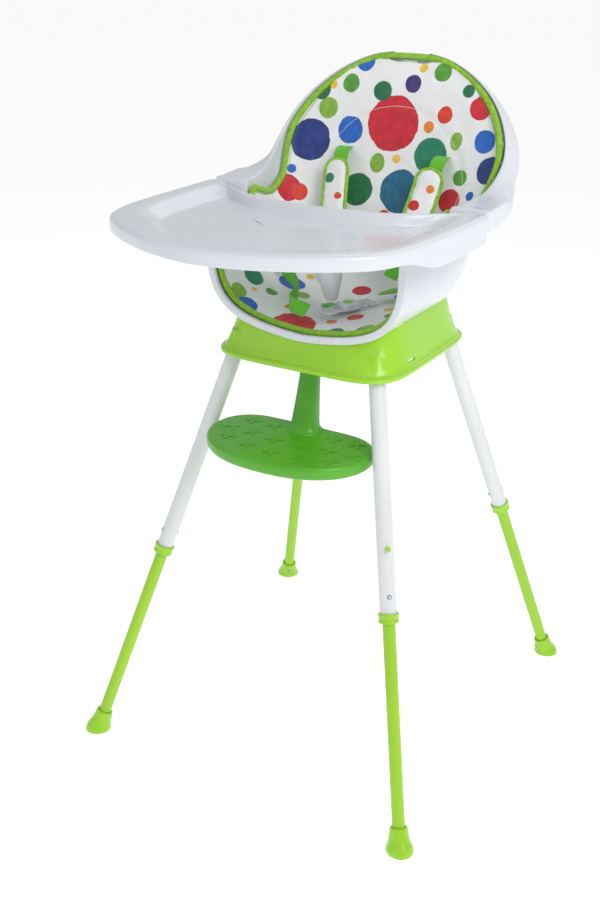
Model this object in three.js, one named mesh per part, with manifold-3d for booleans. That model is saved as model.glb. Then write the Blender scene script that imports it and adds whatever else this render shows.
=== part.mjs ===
// A baby high chair: a moulded seat shell with a quilted liner and a five-point harness, a clip-on
// tray with a crotch post, a hollow base, a footrest and four two-part legs with push buttons.
// Millimetres, +Z up. The child faces -Y and +X is the side at the viewer's right.
import * as THREE from 'three';
import { mergeVertices } from 'three/addons/utils/BufferGeometryUtils.js';
import Module from 'manifold-3d';

const wasm = await Module();
wasm.setup();

// ---------- driving dimensions ----------
const GAP = 0.3;                    // clearance between neighbouring pieces
const FOOT_X = 280;                 // half the track of the feet, at the floor
const FOOT_Y = 307;                 // half the wheelbase of the feet, at the floor
const LEG_SLOPE_X = 0.249;          // how far a leg leans in for each mm of height
const LEG_SLOPE_Y = 0.291;
const UPPER_R = 12.5;               // upper leg tube, outside radius
const LOWER_R = 9.5;                // lower leg tube, outside radius
const TUBE_WALL = 1.2;
const COLLAR_LOW = 334;             // heights along the leg, from the floor
const COLLAR_HIGH = 349;
const UPPER_TOP = 707;
const LOWER_TOP = 487;
const BUTTON_AT = 373;
const BUTTON_R = 3;
const BUTTON_TRAVEL = 3.2;
const FOOT_R = 20.5;
const FOOT_HEIGHT = 34;
const BASE_BOTTOM = 640;            // heights above the floor
const BASE_TOP = 718;
const BASE_WALL = 3.5;
const ARMREST_TOP = 850;
const SHELL_WALL = 3.6;
const FRONT_LIP = 11;               // width of the seat shell's front lip
const LINER_GAP = 1.6;              // the liner's clearance from the shell
const PAD_THICK = 11;
const PAD_FIRST = 2;                // the liner's first station
const TRAY_TOP = 872;
const TRAY_FLOOR = 856;
const TRAY_WALL = 3;
const STRAP_WIDTH = 24;
const STRAP_THICK = 1.6;
const ROUND = 16;                   // sides of a leg's turned pieces
const PLATE_TOP = 535;              // footrest plate
const PLATE_THICK = 20;
const SCREW_LOW = 652;              // the footrest's screw, down through the socket's roof
const SCREW_SEAT = 674;
const FOOT_SCREW_AT = 21;           // height of a foot's screw along the leg
const LOWER_HOLES = [0, 35, 70];    // button holes in the lower tube, above the first

// ---------- materials ----------
const plastic = (color, roughness) => new THREE.MeshStandardMaterial({ color, roughness, metalness: 0 });
const white = plastic(0xeef1f6, 0.25);
const lime = plastic(0x8fd02a, 0.3);
const green = plastic(0x4fae12, 0.4);
const fabric = plastic(0xf6f6f4, 0.9);
const webbing = plastic(0x5fd01c, 0.8);
const paint = new THREE.MeshStandardMaterial({ color: 0xe9ecf0, roughness: 0.35, metalness: 0.2 });
const steel = new THREE.MeshStandardMaterial({ color: 0x9a9da2, roughness: 0.3, metalness: 1 });

const chair = new THREE.Group();

function addPiece(name, geometry, material, parent = chair) {
  const mesh = new THREE.Mesh(geometry, material);
  mesh.name = name;
  parent.add(mesh);
  return mesh;
}

// ---------- solids ----------
function solidOf(geometry) {
  const bare = geometry.index ? geometry.toNonIndexed() : geometry.clone();
  bare.deleteAttribute('normal');
  bare.deleteAttribute('uv');
  const merged = mergeVertices(bare, 1e-3);
  return new wasm.Manifold(new wasm.Mesh({
    numProp: 3,
    vertProperties: new Float32Array(merged.attributes.position.array),
    triVerts: new Uint32Array(merged.index.array),
  }));
}

function geometryOf(solid) {
  const mesh = solid.getMesh();
  const geometry = new THREE.BufferGeometry();
  geometry.setAttribute('position', new THREE.BufferAttribute(new Float32Array(mesh.vertProperties), 3));
  geometry.setIndex(new THREE.BufferAttribute(new Uint32Array(mesh.triVerts), 1));
  return geometry;
}

// A closed geometry from triangles of Vector3, turned so that its faces point out.
function closedGeometry(triangles) {
  let volume = 0;
  for (const [a, b, c] of triangles) {
    volume += a.dot(new THREE.Vector3().crossVectors(b, c));
  }
  const flat = [];
  for (const [a, b, c] of triangles) {
    const turned = volume < 0 ? [a, c, b] : [a, b, c];
    for (const p of turned) {
      flat.push(p.x, p.y, p.z);
    }
  }
  const geometry = new THREE.BufferGeometry();
  geometry.setAttribute('position', new THREE.Float32BufferAttribute(flat, 3));
  return geometry;
}

// Triangles between two rows, or their backs; both sides of a sheet are split along the same diagonal.
function bridge(triangles, rowA, rowB, back = false) {
  for (let i = 0; i + 1 < rowA.length; i += 1) {
    const halves = [[rowA[i], rowA[i + 1], rowB[i + 1]], [rowA[i], rowB[i + 1], rowB[i]]];
    for (const [a, b, c] of halves) {
      triangles.push(back ? [a, c, b] : [a, b, c]);
    }
  }
}

// A thick sheet: each station holds an outer and an inner row of points.
function sheetLoft(stations) {
  const triangles = [];
  for (let s = 0; s + 1 < stations.length; s += 1) {
    const here = stations[s];
    const next = stations[s + 1];
    bridge(triangles, here.outer, next.outer);
    bridge(triangles, here.inner, next.inner, true);
    bridge(triangles, [here.inner[0], here.outer[0]], [next.inner[0], next.outer[0]]);
    bridge(triangles, [here.outer.at(-1), here.inner.at(-1)], [next.outer.at(-1), next.inner.at(-1)]);
  }
  bridge(triangles, stations[0].inner, stations[0].outer);
  bridge(triangles, stations.at(-1).outer, stations.at(-1).inner);
  return closedGeometry(triangles);
}

// A solid of closed rings, with each end drawn to its middle point.
function ringLoft(rings) {
  const triangles = [];
  for (let r = 0; r + 1 < rings.length; r += 1) {
    const a = [...rings[r], rings[r][0]];
    const b = [...rings[r + 1], rings[r + 1][0]];
    bridge(triangles, a, b);
  }
  const middle = (ring) => ring.reduce((sum, p) => sum.add(p), new THREE.Vector3()).divideScalar(ring.length);
  const first = rings[0];
  const last = rings.at(-1);
  const firstMiddle = middle(first);
  const lastMiddle = middle(last);
  for (let i = 0; i < first.length; i += 1) {
    const j = (i + 1) % first.length;
    triangles.push([firstMiddle, first[j], first[i]]);
    triangles.push([lastMiddle, last[i], last[j]]);
  }
  return closedGeometry(triangles);
}

function superellipse(halfX, halfY, z, power, count, centreY = 0) {
  const ring = [];
  for (let i = 0; i < count; i += 1) {
    const angle = 2 * Math.PI * i / count;
    const c = Math.cos(angle);
    const s = Math.sin(angle);
    const x = Math.sign(c) * halfX * Math.abs(c) ** (2 / power);
    const y = Math.sign(s) * halfY * Math.abs(s) ** (2 / power);
    ring.push(new THREE.Vector3(x, centreY + y, z));
  }
  return ring;
}

// A turned part about +Y from [radius, height] points.
function turned(points, segments = 20) {
  return new THREE.LatheGeometry(points.map(([r, h]) => new THREE.Vector2(r, h)), segments);
}

// A closed tube about +Y between two heights.
function tube(outer, inner, low, high, segments = 20) {
  return turned([[inner, low], [outer, low], [outer, high], [inner, high], [inner, low]], segments);
}

function rod(radius, low, high, segments = 20) {
  return turned([[0, low], [radius, low], [radius, high], [0, high]], segments);
}

function slab(width, depth, height, x, y, z) {
  return new THREE.BoxGeometry(width, depth, height).translate(x, y, z);
}

// ---------- seat shell ----------
// Each station is a plane across the seat. base and rim are [y, z] of the middle of the shell's
// outer face and of the rim; wall is the half-width of the side wall, lip that of the rolled lip,
// skirt the lip's depth, and bent the share of the wall's height that is bent.
const STATIONS = [
  { base: [-133, 677], rim: [-133, 850], wall: 163, lip: 166, skirt: 9, bent: 0.65 },
  { base: [-126, 677], rim: [-126, 850], wall: 163, lip: 166, skirt: 9, bent: 0.65 },
  { base: [-118, 677.5], rim: [-118, 850], wall: 163, lip: 176, skirt: 10, bent: 0.65 },
  { base: [-80, 679.5], rim: [-88, 850], wall: 164, lip: 200, skirt: 12, bent: 0.65 },
  { base: [-30, 682], rim: [-55, 850], wall: 166, lip: 205, skirt: 12, bent: 0.62 },
  { base: [20, 685], rim: [-26, 850], wall: 168, lip: 208, skirt: 12, bent: 0.6 },
  { base: [66, 689], rim: [-18, 850], wall: 171, lip: 212, skirt: 13, bent: 0.6 },
  { base: [98, 700], rim: [-12.5, 872], wall: 173, lip: 228, skirt: 34, bent: 0.62 },
  { base: [117, 720], rim: [4, 873], wall: 175, lip: 229, skirt: 34, bent: 0.66 },
  { base: [124, 746], rim: [18, 874], wall: 177, lip: 229.5, skirt: 34, bent: 0.7 },
  { base: [130, 776], rim: [34, 875], wall: 180, lip: 229.5, skirt: 33, bent: 0.74 },
  { base: [138, 814], rim: [50, 877], wall: 184, lip: 229, skirt: 31, bent: 0.8 },
  { base: [149, 846], rim: [72, 882], wall: 189, lip: 222, skirt: 30, bent: 0.86 },
  { base: [158, 872], rim: [98, 897], wall: 193, lip: 213, skirt: 29, bent: 0.92 },
  { base: [166, 900], rim: [122, 919], wall: 194, lip: 208, skirt: 27, bent: 1 },
  { base: [174, 930], rim: [140, 944], wall: 188, lip: 200, skirt: 22, bent: 1 },
  { base: [182, 960], rim: [156, 971], wall: 174, lip: 183, skirt: 17, bent: 1 },
  { base: [189, 988], rim: [170, 997], wall: 153, lip: 159, skirt: 13, bent: 1 },
  { base: [195, 1012], rim: [181, 1019], wall: 126, lip: 130.5, skirt: 10, bent: 1 },
  { base: [199, 1030], rim: [188, 1036], wall: 97, lip: 100.5, skirt: 8, bent: 1 },
  { base: [203, 1044], rim: [194, 1049], wall: 64, lip: 67, skirt: 6, bent: 1 },
  { base: [205, 1050], rim: [197, 1055], wall: 30, lip: 32, skirt: 5, bent: 1 },
];
const FLOOR_STATIONS = 7;           // the stations before the wings rise
const ROLL_FROM = 11;               // from this station to the next but one, the lip comes to slant back
const PAD_DROP = [6, 6, 6, 6, 6, 6, 6, 6, 10, 18, 24, 22, 15, 8];  // the liner's edge below the rim

// The right half of a station's outer face as [x, t], t being the height towards the rim.
function wallProfile(wall, height, bent) {
  const bendTop = Math.min(bent * height, height - SHELL_WALL - 0.5);
  const bend = new THREE.CubicBezierCurve(
    new THREE.Vector2(0, 0),
    new THREE.Vector2(0.69 * wall, 0.04 * height),
    new THREE.Vector2(wall, 0.25 * bendTop),
    new THREE.Vector2(wall, bendTop),
  );
  return [...bend.getPoints(8), new THREE.Vector2(wall, height)];
}

// The profile moved along its inward normal.
function offsetProfile(profile, distance) {
  return profile.map((p, i) => {
    const before = profile[Math.max(i - 1, 0)];
    const after = profile[Math.min(i + 1, profile.length - 1)];
    const along = after.clone().sub(before).normalize();
    const normal = i === 0 ? new THREE.Vector2(0, 1) : new THREE.Vector2(-along.y, along.x);
    return p.clone().addScaledVector(normal, distance);
  });
}

function placeHalf(station, half) {
  const base = new THREE.Vector3(0, ...station.base);
  const rim = new THREE.Vector3(0, ...station.rim);
  const up = rim.clone().sub(base).normalize();
  const at = (x, t) => base.clone().addScaledVector(up, t).setX(x);
  const right = half.map((p) => at(p.x, p.y));
  const left = half.slice(1).reverse().map((p) => at(-p.x, p.y));
  return [...left, ...right];
}

const heightOf = (station) => Math.hypot(
  station.rim[0] - station.base[0],
  station.rim[1] - station.base[1],
);

function shellStation(station, index) {
  const height = heightOf(station);
  const thick = index < 2 ? FRONT_LIP : SHELL_WALL;
  const skirt = Math.min(station.skirt, height - 2);
  const under = height - SHELL_WALL;
  const roll = THREE.MathUtils.clamp((index - ROLL_FROM) / 2, 0, 1);
  const fall = roll * Math.max(Math.min(0.75 * skirt, skirt - 5), 0);
  const turn = Math.max(station.lip - SHELL_WALL, station.wall + 0.5);
  const slant = (x) => fall * Math.max((x - station.wall) / (station.lip - station.wall), 0) ** 1.2;
  const wall = wallProfile(station.wall, height, station.bent);
  const outerWall = [...wall.slice(0, -1), new THREE.Vector2(station.wall, under)];
  const innerWall = offsetProfile(wall, thick);
  const outer = [
    ...outerWall,
    new THREE.Vector2(turn, Math.max(under - slant(turn), height - skirt + 0.5)),
    new THREE.Vector2(turn + 0.1, height - skirt),
    new THREE.Vector2(station.lip, height - skirt),
    new THREE.Vector2(station.lip, height - 2 - fall),
  ];
  const top = innerWall.at(-1);
  const inner = [
    ...innerWall.slice(0, -1),
    new THREE.Vector2(top.x, height - 2),
    new THREE.Vector2(top.x + 1, height),
    new THREE.Vector2(0.5 * (top.x + station.lip), height - slant(0.5 * (top.x + station.lip))),
    new THREE.Vector2(station.lip - 2, height - slant(station.lip - 2)),
  ];
  while (inner.length < outer.length) {
    inner.splice(-1, 0, inner.at(-2).clone().lerp(inner.at(-1), 0.5));
  }
  return { outer: placeHalf(station, outer), inner: placeHalf(station, inner) };
}

// A filled copy of the shell, grown by a distance, for cutting the pieces that it rests on.
function shellEnvelope(grow) {
  const stations = STATIONS.slice(0, FLOOR_STATIONS + 3).map((station, index) => {
    const height = heightOf(station);
    const half = offsetProfile(wallProfile(station.wall, height, station.bent), -grow);
    const outer = placeHalf(station, half);
    const first = outer[0];
    const last = outer.at(-1);
    const inner = outer.map((p, i) => first.clone().lerp(last, i / (outer.length - 1)));
    inner.forEach((p) => p.add(new THREE.Vector3(0, 0, 5)));
    if (index === 0) {
      [...outer, ...inner].forEach((p) => p.add(new THREE.Vector3(0, -grow, 0)));
    }
    return { outer, inner };
  });
  return solidOf(sheetLoft(stations));
}

const SLOT_X = 85;                  // shoulder strap slots in the back
const SLOT_Z = 909;
let shell = solidOf(sheetLoft(STATIONS.map(shellStation)));
for (const side of [-1, 1]) {
  shell = shell.subtract(solidOf(slab(32, 60, 7, side * SLOT_X, 160, SLOT_Z + 2)));
}
addPiece('seat_shell', geometryOf(shell), white);

// ---------- liner ----------
function padStation(station, index) {
  const height = heightOf(station);
  const lift = SHELL_WALL + LINER_GAP;
  const profile = wallProfile(station.wall, height, station.bent);
  const thick = PAD_THICK * THREE.MathUtils.clamp(station.wall / 110, 0.6, 1);
  const back = offsetProfile(profile, lift).slice(0, -1);
  const front = offsetProfile(profile, lift + thick).slice(0, -1);
  const drop = PAD_DROP[index + PAD_FIRST] ?? 6;
  const edge = Math.max(height - drop, front.at(-1).y + 1);
  const backTop = new THREE.Vector2(profile.at(-1).x - lift, edge);
  const frontTop = new THREE.Vector2(profile.at(-1).x - lift - thick, edge);
  return {
    outer: placeHalf(station, [...back, backTop]),
    inner: placeHalf(station, [...front, frontTop]),
  };
}

const PAD_STATIONS = STATIONS.slice(PAD_FIRST, -1);
let pad = solidOf(sheetLoft(PAD_STATIONS.map(padStation)));
for (const side of [-1, 1]) {
  pad = pad.subtract(solidOf(slab(30, 60, 6, side * SLOT_X, 150, SLOT_Z + 2)));
}
addPiece('seat_liner', geometryOf(pad), fabric);

// ---------- tray ----------
const TRAY_OUTLINE = [              // the right half, from the middle of the front round to the back
  [0, -400], [75, -385], [120, -365], [162, -340], [203, -304], [222, -256],
  [229.5, -187], [231.5, -117], [232, -50], [230, -19], [219, -16], [200, -30],
  [165, -57], [122, -81], [60, -95], [0, -98],
];
const FLOOR_OUTLINE = [
  [0, -334], [55, -322], [95, -304], [130, -277], [158, -238], [171, -195],
  [174, -150], [175, -105], [172, -78], [162, -70], [150, -78], [135, -90],
  [110, -105], [80, -115], [40, -121], [0, -123],
];
const TRAY_POINTS = 52;

function closedOutline(half) {
  const mirrored = half.slice(1, -1).reverse().map(([x, y]) => [-x, y]);
  const all = [...half, ...mirrored].map(([x, y]) => new THREE.Vector3(x, y, 0));
  return new THREE.CatmullRomCurve3(all, true, 'centripetal').getPoints(TRAY_POINTS).slice(0, -1);
}

const outerOutline = closedOutline(TRAY_OUTLINE);
const floorOutline = closedOutline(FLOOR_OUTLINE);

// The skirt hangs 20 mm at the front and rear edges and deepens along the sides.
function skirtDepth(p) {
  const side = THREE.MathUtils.smoothstep(Math.abs(p.x), 215, 228);
  const back = THREE.MathUtils.smoothstep(p.y, -270, -165);
  return 20 + 21 * side * back;
}

// share 0 is the outline, 1 the floor; drop is measured down from the tray's top.
function trayRing(share, drop, inset = 0) {
  return outerOutline.map((p, i) => {
    const q = p.clone().lerp(floorOutline[i], share);
    const towards = floorOutline[i].clone().sub(p).normalize();
    q.addScaledVector(towards, inset);
    return q.setZ(TRAY_TOP - (drop === 'skirt' ? skirtDepth(p) : drop));
  });
}

const centreRing = (scale, z) => floorOutline.map(
  (p) => new THREE.Vector3(p.x * scale, -220 + (p.y + 220) * scale, z),
);
const trayRings = [
  centreRing(0.25, TRAY_FLOOR),
  centreRing(0.97, TRAY_FLOOR),
  trayRing(0.93, TRAY_TOP - TRAY_FLOOR - 2),
  trayRing(0.62, 3),
  trayRing(0.48, 0.4),
  trayRing(0, 0, 6),
  trayRing(0, 2, 1.5),
  trayRing(0, 6),
  trayRing(0, 'skirt'),
  trayRing(0, 'skirt', TRAY_WALL),
  trayRing(0, 8, TRAY_WALL),
  trayRing(0, TRAY_WALL + 1, 9),
  trayRing(0.45, TRAY_WALL + 1),
  trayRing(0.62, TRAY_WALL + 4),
  trayRing(0.93, TRAY_TOP - TRAY_FLOOR + TRAY_WALL - 1),
  centreRing(0.97, TRAY_FLOOR - TRAY_WALL),
  centreRing(0.25, TRAY_FLOOR - TRAY_WALL),
];
addPiece('tray', ringLoft(trayRings), white);

// The crotch post hangs from the tray: [half-width, half-depth, height].
const POST = [
  [4, 3.5, 718], [8, 7, 719.5], [10.5, 9, 724], [14, 11.5, 738],
  [19, 14, 757], [24, 16, 790], [28, 18, 851],
];
const postY = (z) => -42 - 0.19 * (z - 718);
const postRings = POST.map(([x, y, z]) => superellipse(x, y, z, 2.4, 20, postY(z)));
addPiece('crotch_post', ringLoft(postRings), white);

// A sprung paddle under each side of the tray, and the spring that pushes it in.
const LATCH_Y = -180;
const LATCH_Z = 850;
const LATCH_X = 208;                // inner face of the paddle
const LATCH_THICK = 5;
const SPRING_END = 225.5;

function coilSpring(radius, wire, turns, length) {
  const points = [];
  const steps = turns * 8;
  for (let i = 0; i <= steps; i += 1) {
    const angle = i * Math.PI / 4;
    const along = wire + (length - 2 * wire) * i / steps;
    points.push(new THREE.Vector3(along, radius * Math.cos(angle), radius * Math.sin(angle)));
  }
  const section = new THREE.Shape().absarc(0, 0, wire, 0, 2 * Math.PI);
  const path = new THREE.CatmullRomCurve3(points);
  return new THREE.ExtrudeGeometry(section, { steps, curveSegments: 3, extrudePath: path });
}

for (const [side, word] of [[-1, 'left'], [1, 'right']]) {
  const paddle = new THREE.Shape();
  paddle.moveTo(-24, -12);
  paddle.lineTo(24, -12);
  paddle.quadraticCurveTo(28, 0, 24, 12);
  paddle.lineTo(-24, 12);
  paddle.quadraticCurveTo(-28, 0, -24, -12);
  const blade = new THREE.ExtrudeGeometry(paddle, { depth: LATCH_THICK, bevelEnabled: false, curveSegments: 6 });
  blade.rotateX(Math.PI / 2).rotateZ(Math.PI / 2);
  const middle = LATCH_X + LATCH_THICK / 2;
  blade.center().translate(side * middle, LATCH_Y, LATCH_Z);
  addPiece(`tray_latch_${word}`, blade, white);
  const spring = coilSpring(4, 0.7, 4, SPRING_END - LATCH_X - LATCH_THICK - 2 * GAP);
  const start = LATCH_X + LATCH_THICK + GAP;
  spring.rotateZ(side < 0 ? Math.PI : 0).translate(side * start, LATCH_Y, LATCH_Z);
  addPiece(`latch_spring_${word}`, spring, steel);
}

// ---------- harness ----------
// A strap lies on a path, with its width along a given direction at each point.
function strap(points, across, width = STRAP_WIDTH, thick = STRAP_THICK, steps = 12) {
  const path = new THREE.CatmullRomCurve3(points.map((p) => new THREE.Vector3(...p)));
  const sides = across.map((p) => new THREE.Vector3(...p));
  const stations = [];
  for (let i = 0; i <= steps; i += 1) {
    const share = i / steps;
    const at = path.getPoint(share);
    const along = path.getTangent(share);
    const place = share * (sides.length - 1);
    const low = Math.min(Math.floor(place), sides.length - 2);
    const side = sides[low].clone().lerp(sides[low + 1], place - low);
    side.addScaledVector(along, -side.dot(along)).normalize();
    const normal = new THREE.Vector3().crossVectors(along, side).normalize();
    const edge = (w, n) => at.clone().addScaledVector(side, w * width / 2).addScaledVector(normal, n * thick / 2);
    stations.push({ outer: [edge(-1, -1), edge(1, -1)], inner: [edge(-1, 1), edge(1, 1)] });
  }
  return sheetLoft(stations);
}

for (const [side, word] of [[-1, 'left'], [1, 'right']]) {
  const shoulder = [
    [85, 158, 911], [84, 138, 909], [82, 125, 893], [78, 112, 858],
    [70, 92, 815], [60, 66, 768], [55, 52, 748], [52, 46, 740],
  ].map(([x, y, z]) => [side * x, y, z]);
  addPiece(`shoulder_strap_${word}`, strap(shoulder, [[1, 0, 0], [1, 0, 0]]), webbing);
  const sleeve = [[82, 116, 897], [78, 103, 862], [72, 87, 826], [65, 69, 790], [60, 56, 767]]
    .map(([x, y, z]) => [side * x, y, z]);
  const padAcross = [[1, 0.1 * side, 0], [1, 0.1 * side, 0]];
  addPiece(`shoulder_pad_${word}`, strap(sleeve, padAcross, 46, 9, 10), fabric);
}

// The buckle and its two tongues lie on the seat, in line, at a turn about Z.
const buckle = new THREE.Group();
buckle.position.set(22, -30, 711);
buckle.rotation.z = Math.atan2(0.93, 0.37);
chair.add(buckle);

function roundedPlate(length, width, height, corner) {
  const shape = new THREE.Shape();
  const x = length / 2;
  const y = width / 2;
  shape.moveTo(-x + corner, -y);
  shape.lineTo(x - corner, -y);
  shape.quadraticCurveTo(x, -y, x, -y + corner);
  shape.lineTo(x, y - corner);
  shape.quadraticCurveTo(x, y, x - corner, y);
  shape.lineTo(-x + corner, y);
  shape.quadraticCurveTo(-x, y, -x, y - corner);
  shape.lineTo(-x, -y + corner);
  shape.quadraticCurveTo(-x, -y, -x + corner, -y);
  const plate = new THREE.ExtrudeGeometry(shape, { depth: height, bevelEnabled: false, curveSegments: 6 });
  return plate.translate(0, 0, -height / 2);
}

const BUCKLE_LENGTH = 34;
const PRESS_R = 7;
const PRESS_TRAVEL = 2.4;
const TONGUE_IN = 9;
let housing = solidOf(roundedPlate(BUCKLE_LENGTH, 28, 11, 6));
for (const side of [-1, 1]) {
  housing = housing.subtract(solidOf(slab(20, 13, 3.4, side * BUCKLE_LENGTH / 2, 0, -2.5)));
}
const pocket = rod(PRESS_R + 0.4, 0, 10, 20).rotateX(Math.PI / 2).translate(0, 0, 1);
housing = housing.subtract(solidOf(pocket));
addPiece('buckle_body', geometryOf(housing), white, buckle);
const press = turned([[0, 0], [PRESS_R, 0], [PRESS_R, 2.6], [PRESS_R - 0.8, 3.4], [0, 3.6]], 20);
press.rotateX(Math.PI / 2).translate(0, 0, 1 + PRESS_TRAVEL + 0.3);
addPiece('buckle_button', press, lime, buckle);

for (const [side, word] of [[-1, 'left'], [1, 'right']]) {
  const tongue = new THREE.Shape();
  const start = BUCKLE_LENGTH / 2 - TONGUE_IN;
  tongue.moveTo(start, -5.8);
  tongue.lineTo(start + TONGUE_IN + 1, -5.8);
  tongue.lineTo(start + TONGUE_IN + 1, -13);
  tongue.lineTo(start + TONGUE_IN + 12, -13);
  tongue.lineTo(start + TONGUE_IN + 12, 13);
  tongue.lineTo(start + TONGUE_IN + 1, 13);
  tongue.lineTo(start + TONGUE_IN + 1, 5.8);
  tongue.lineTo(start, 5.8);
  tongue.closePath();
  const opening = new THREE.Path();
  opening.moveTo(start + TONGUE_IN + 6, -10.5);
  opening.lineTo(start + TONGUE_IN + 6, 10.5);
  opening.lineTo(start + TONGUE_IN + 9, 10.5);
  opening.lineTo(start + TONGUE_IN + 9, -10.5);
  opening.closePath();
  tongue.holes.push(opening);
  const blade = new THREE.ExtrudeGeometry(tongue, { depth: 2.6, bevelEnabled: false });
  blade.translate(0, 0, -3.8).rotateZ(side < 0 ? Math.PI : 0);
  addPiece(`tongue_${word}`, blade, white, buckle);
  const frame = new THREE.Shape();
  frame.moveTo(-9, -15).lineTo(9, -15).lineTo(9, 15).lineTo(-9, 15);
  for (const low of [-6.5, 1.5]) {
    const slit = new THREE.Path();
    const half = low < 0 ? 12.5 : 12.2;
    slit.moveTo(low, -half).lineTo(low, half).lineTo(low + 3.8, half).lineTo(low + 3.8, -half);
    frame.holes.push(slit);
  }
  const glide = new THREE.ExtrudeGeometry(frame, { depth: 2.4, bevelEnabled: false });
  glide.translate(side * (BUCKLE_LENGTH / 2 + 24), 0, -3.6);
  addPiece(`strap_adjuster_${word}`, glide, white, buckle);
}

const leftWaist = [
  [-138, 22, 768], [-116, 10, 746], [-92, -4, 731], [-72, -20, 724], [-60, -42, 721],
  [-56, -66, 719], [-46, -86, 718], [-28, -96, 717], [-10, -98, 714],
];
const leftAcross = [[0, 1, 0.6], [0, 0.6, 1], [0, 0, 1], [0, 0, 1], [0, 0, 1], [0, 0.2, 1], [0.3, 0.7, 0.6]];
addPiece('waist_strap_left', strap(leftWaist, leftAcross, 22), webbing);
const rightWaist = [[46, 26, 719], [62, 30, 724], [88, 30, 733], [114, 28, 748], [137, 24, 768]];
addPiece('waist_strap_right', strap(rightWaist, [[0, 1, 0], [0, 1, 0.5]], 22), webbing);
addPiece('crotch_strap', strap([[-22, -18, 703.5], [-14, -22, 704], [-2, -26, 705], [5, -28.5, 706]],
  [[0.3, 1, 0], [0.3, 1, 0]], 20, STRAP_THICK, 6), webbing);

// ---------- legs ----------
const BORE_GAP = 0.3;

// A group whose +Y runs up a leg from the floor and whose +X faces away from the chair's middle.
function legFrame(sideX, sideY) {
  const up = new THREE.Vector3(-sideX * LEG_SLOPE_X, -sideY * LEG_SLOPE_Y, 1).normalize();
  const out = new THREE.Vector3(sideX * LEG_SLOPE_X, sideY * LEG_SLOPE_Y, 0).normalize();
  out.addScaledVector(up, -out.dot(up)).normalize();
  const across = new THREE.Vector3().crossVectors(out, up);
  const group = new THREE.Group();
  group.quaternion.setFromRotationMatrix(new THREE.Matrix4().makeBasis(out, up, across));
  group.position.set(sideX * FOOT_X, sideY * FOOT_Y, 0);
  group.updateMatrix();
  return group;
}

const LEGS = [
  [-1, -1, 'front_left'], [1, -1, 'front_right'], [-1, 1, 'rear_left'], [1, 1, 'rear_right'],
];

function crossHole(height) {
  return solidOf(rod(BUTTON_R + 0.4, -20, 20, 8).rotateZ(Math.PI / 2).translate(0, height, 0));
}

const upperTube = solidOf(tube(UPPER_R, UPPER_R - TUBE_WALL, COLLAR_LOW + 5, UPPER_TOP, ROUND))
  .subtract(crossHole(BUTTON_AT));
let lowerTube = solidOf(tube(LOWER_R, LOWER_R - TUBE_WALL, 12, LOWER_TOP, ROUND));
for (const step of LOWER_HOLES) {
  lowerTube = lowerTube.subtract(crossHole(BUTTON_AT + step));
}
const collar = turned([
  [LOWER_R + GAP, COLLAR_LOW], [14.2, COLLAR_LOW], [15.2, COLLAR_LOW + 2], [15, COLLAR_HIGH - 5],
  [15.6, COLLAR_HIGH - 1], [15, COLLAR_HIGH], [UPPER_R + GAP, COLLAR_HIGH],
  [UPPER_R + GAP, COLLAR_LOW + 5 - GAP], [LOWER_R + GAP, COLLAR_LOW + 5 - GAP], [LOWER_R + GAP, COLLAR_LOW],
], ROUND);
const footCone = turned([
  [0, -12], [FOOT_R, -12], [FOOT_R, 4], [18.6, 9], [16, 16], [14.2, 25], [13.2, FOOT_HEIGHT],
  [LOWER_R + GAP, FOOT_HEIGHT], [LOWER_R + GAP, 11], [0, 11],
], ROUND);
const button = turned([
  [0, 6], [BUTTON_R, 6], [BUTTON_R, 13.4], [BUTTON_R - 0.9, 14.2], [0, 14.5],
], 10).rotateZ(-Math.PI / 2);
const bottomBlock = slab(200, 200, 60, 0, 0, -30);

function clipSpring() {
  const reach = 5.5;
  const rise = 34;
  const thick = 0.7;
  const shape = new THREE.Shape();
  shape.moveTo(reach, -5);
  shape.lineTo(reach, 5);
  shape.lineTo(2.4, rise);
  shape.quadraticCurveTo(0, rise + 5, -2.4, rise);
  shape.lineTo(-reach, 5);
  shape.lineTo(-reach, -5);
  shape.lineTo(-reach + thick, -5);
  shape.lineTo(-reach + thick, 5);
  shape.lineTo(-2.4 + thick, rise);
  shape.quadraticCurveTo(0, rise + 4, 2.4 - thick, rise);
  shape.lineTo(reach - thick, 5);
  shape.lineTo(reach - thick, -5);
  const strip = new THREE.ExtrudeGeometry(shape, { depth: 5, bevelEnabled: false, curveSegments: 6 });
  return strip.translate(0, BUTTON_AT, -2.5);
}

for (const [sideX, sideY, word] of LEGS) {
  const leg = legFrame(sideX, sideY);
  chair.add(leg);
  addPiece(`upper_leg_${word}`, geometryOf(upperTube), paint, leg);
  addPiece(`leg_collar_${word}`, collar, lime, leg);
  addPiece(`lower_leg_${word}`, geometryOf(lowerTube), lime, leg);
  addPiece(`button_outer_${word}`, button.clone().translate(0, BUTTON_AT, 0), steel, leg);
  addPiece(`button_inner_${word}`, button.clone().rotateY(Math.PI).translate(0, BUTTON_AT, 0), steel, leg);
  addPiece(`clip_spring_${word}`, clipSpring(), steel, leg);
  const floorCut = solidOf(bottomBlock.clone().applyMatrix4(leg.matrix.clone().setPosition(0, 0, 0).invert()));
  const screwHole = solidOf(rod(3.6, -30, -LOWER_R - 2.4, 10).rotateZ(-Math.PI / 2).translate(0, FOOT_SCREW_AT, 0));
  addPiece(`foot_${word}`, geometryOf(solidOf(footCone).subtract(floorCut).subtract(screwHole)), lime, leg);
  const screw = turned([
    [0, LOWER_R + 2.8], [3, LOWER_R + 2.8], [3, LOWER_R + 5.6], [2.4, LOWER_R + 6.3], [0, LOWER_R + 6.5],
  ], 10).rotateZ(Math.PI / 2).translate(0, FOOT_SCREW_AT, 0);
  addPiece(`foot_screw_${word}`, screw, steel, leg);
}

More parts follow.
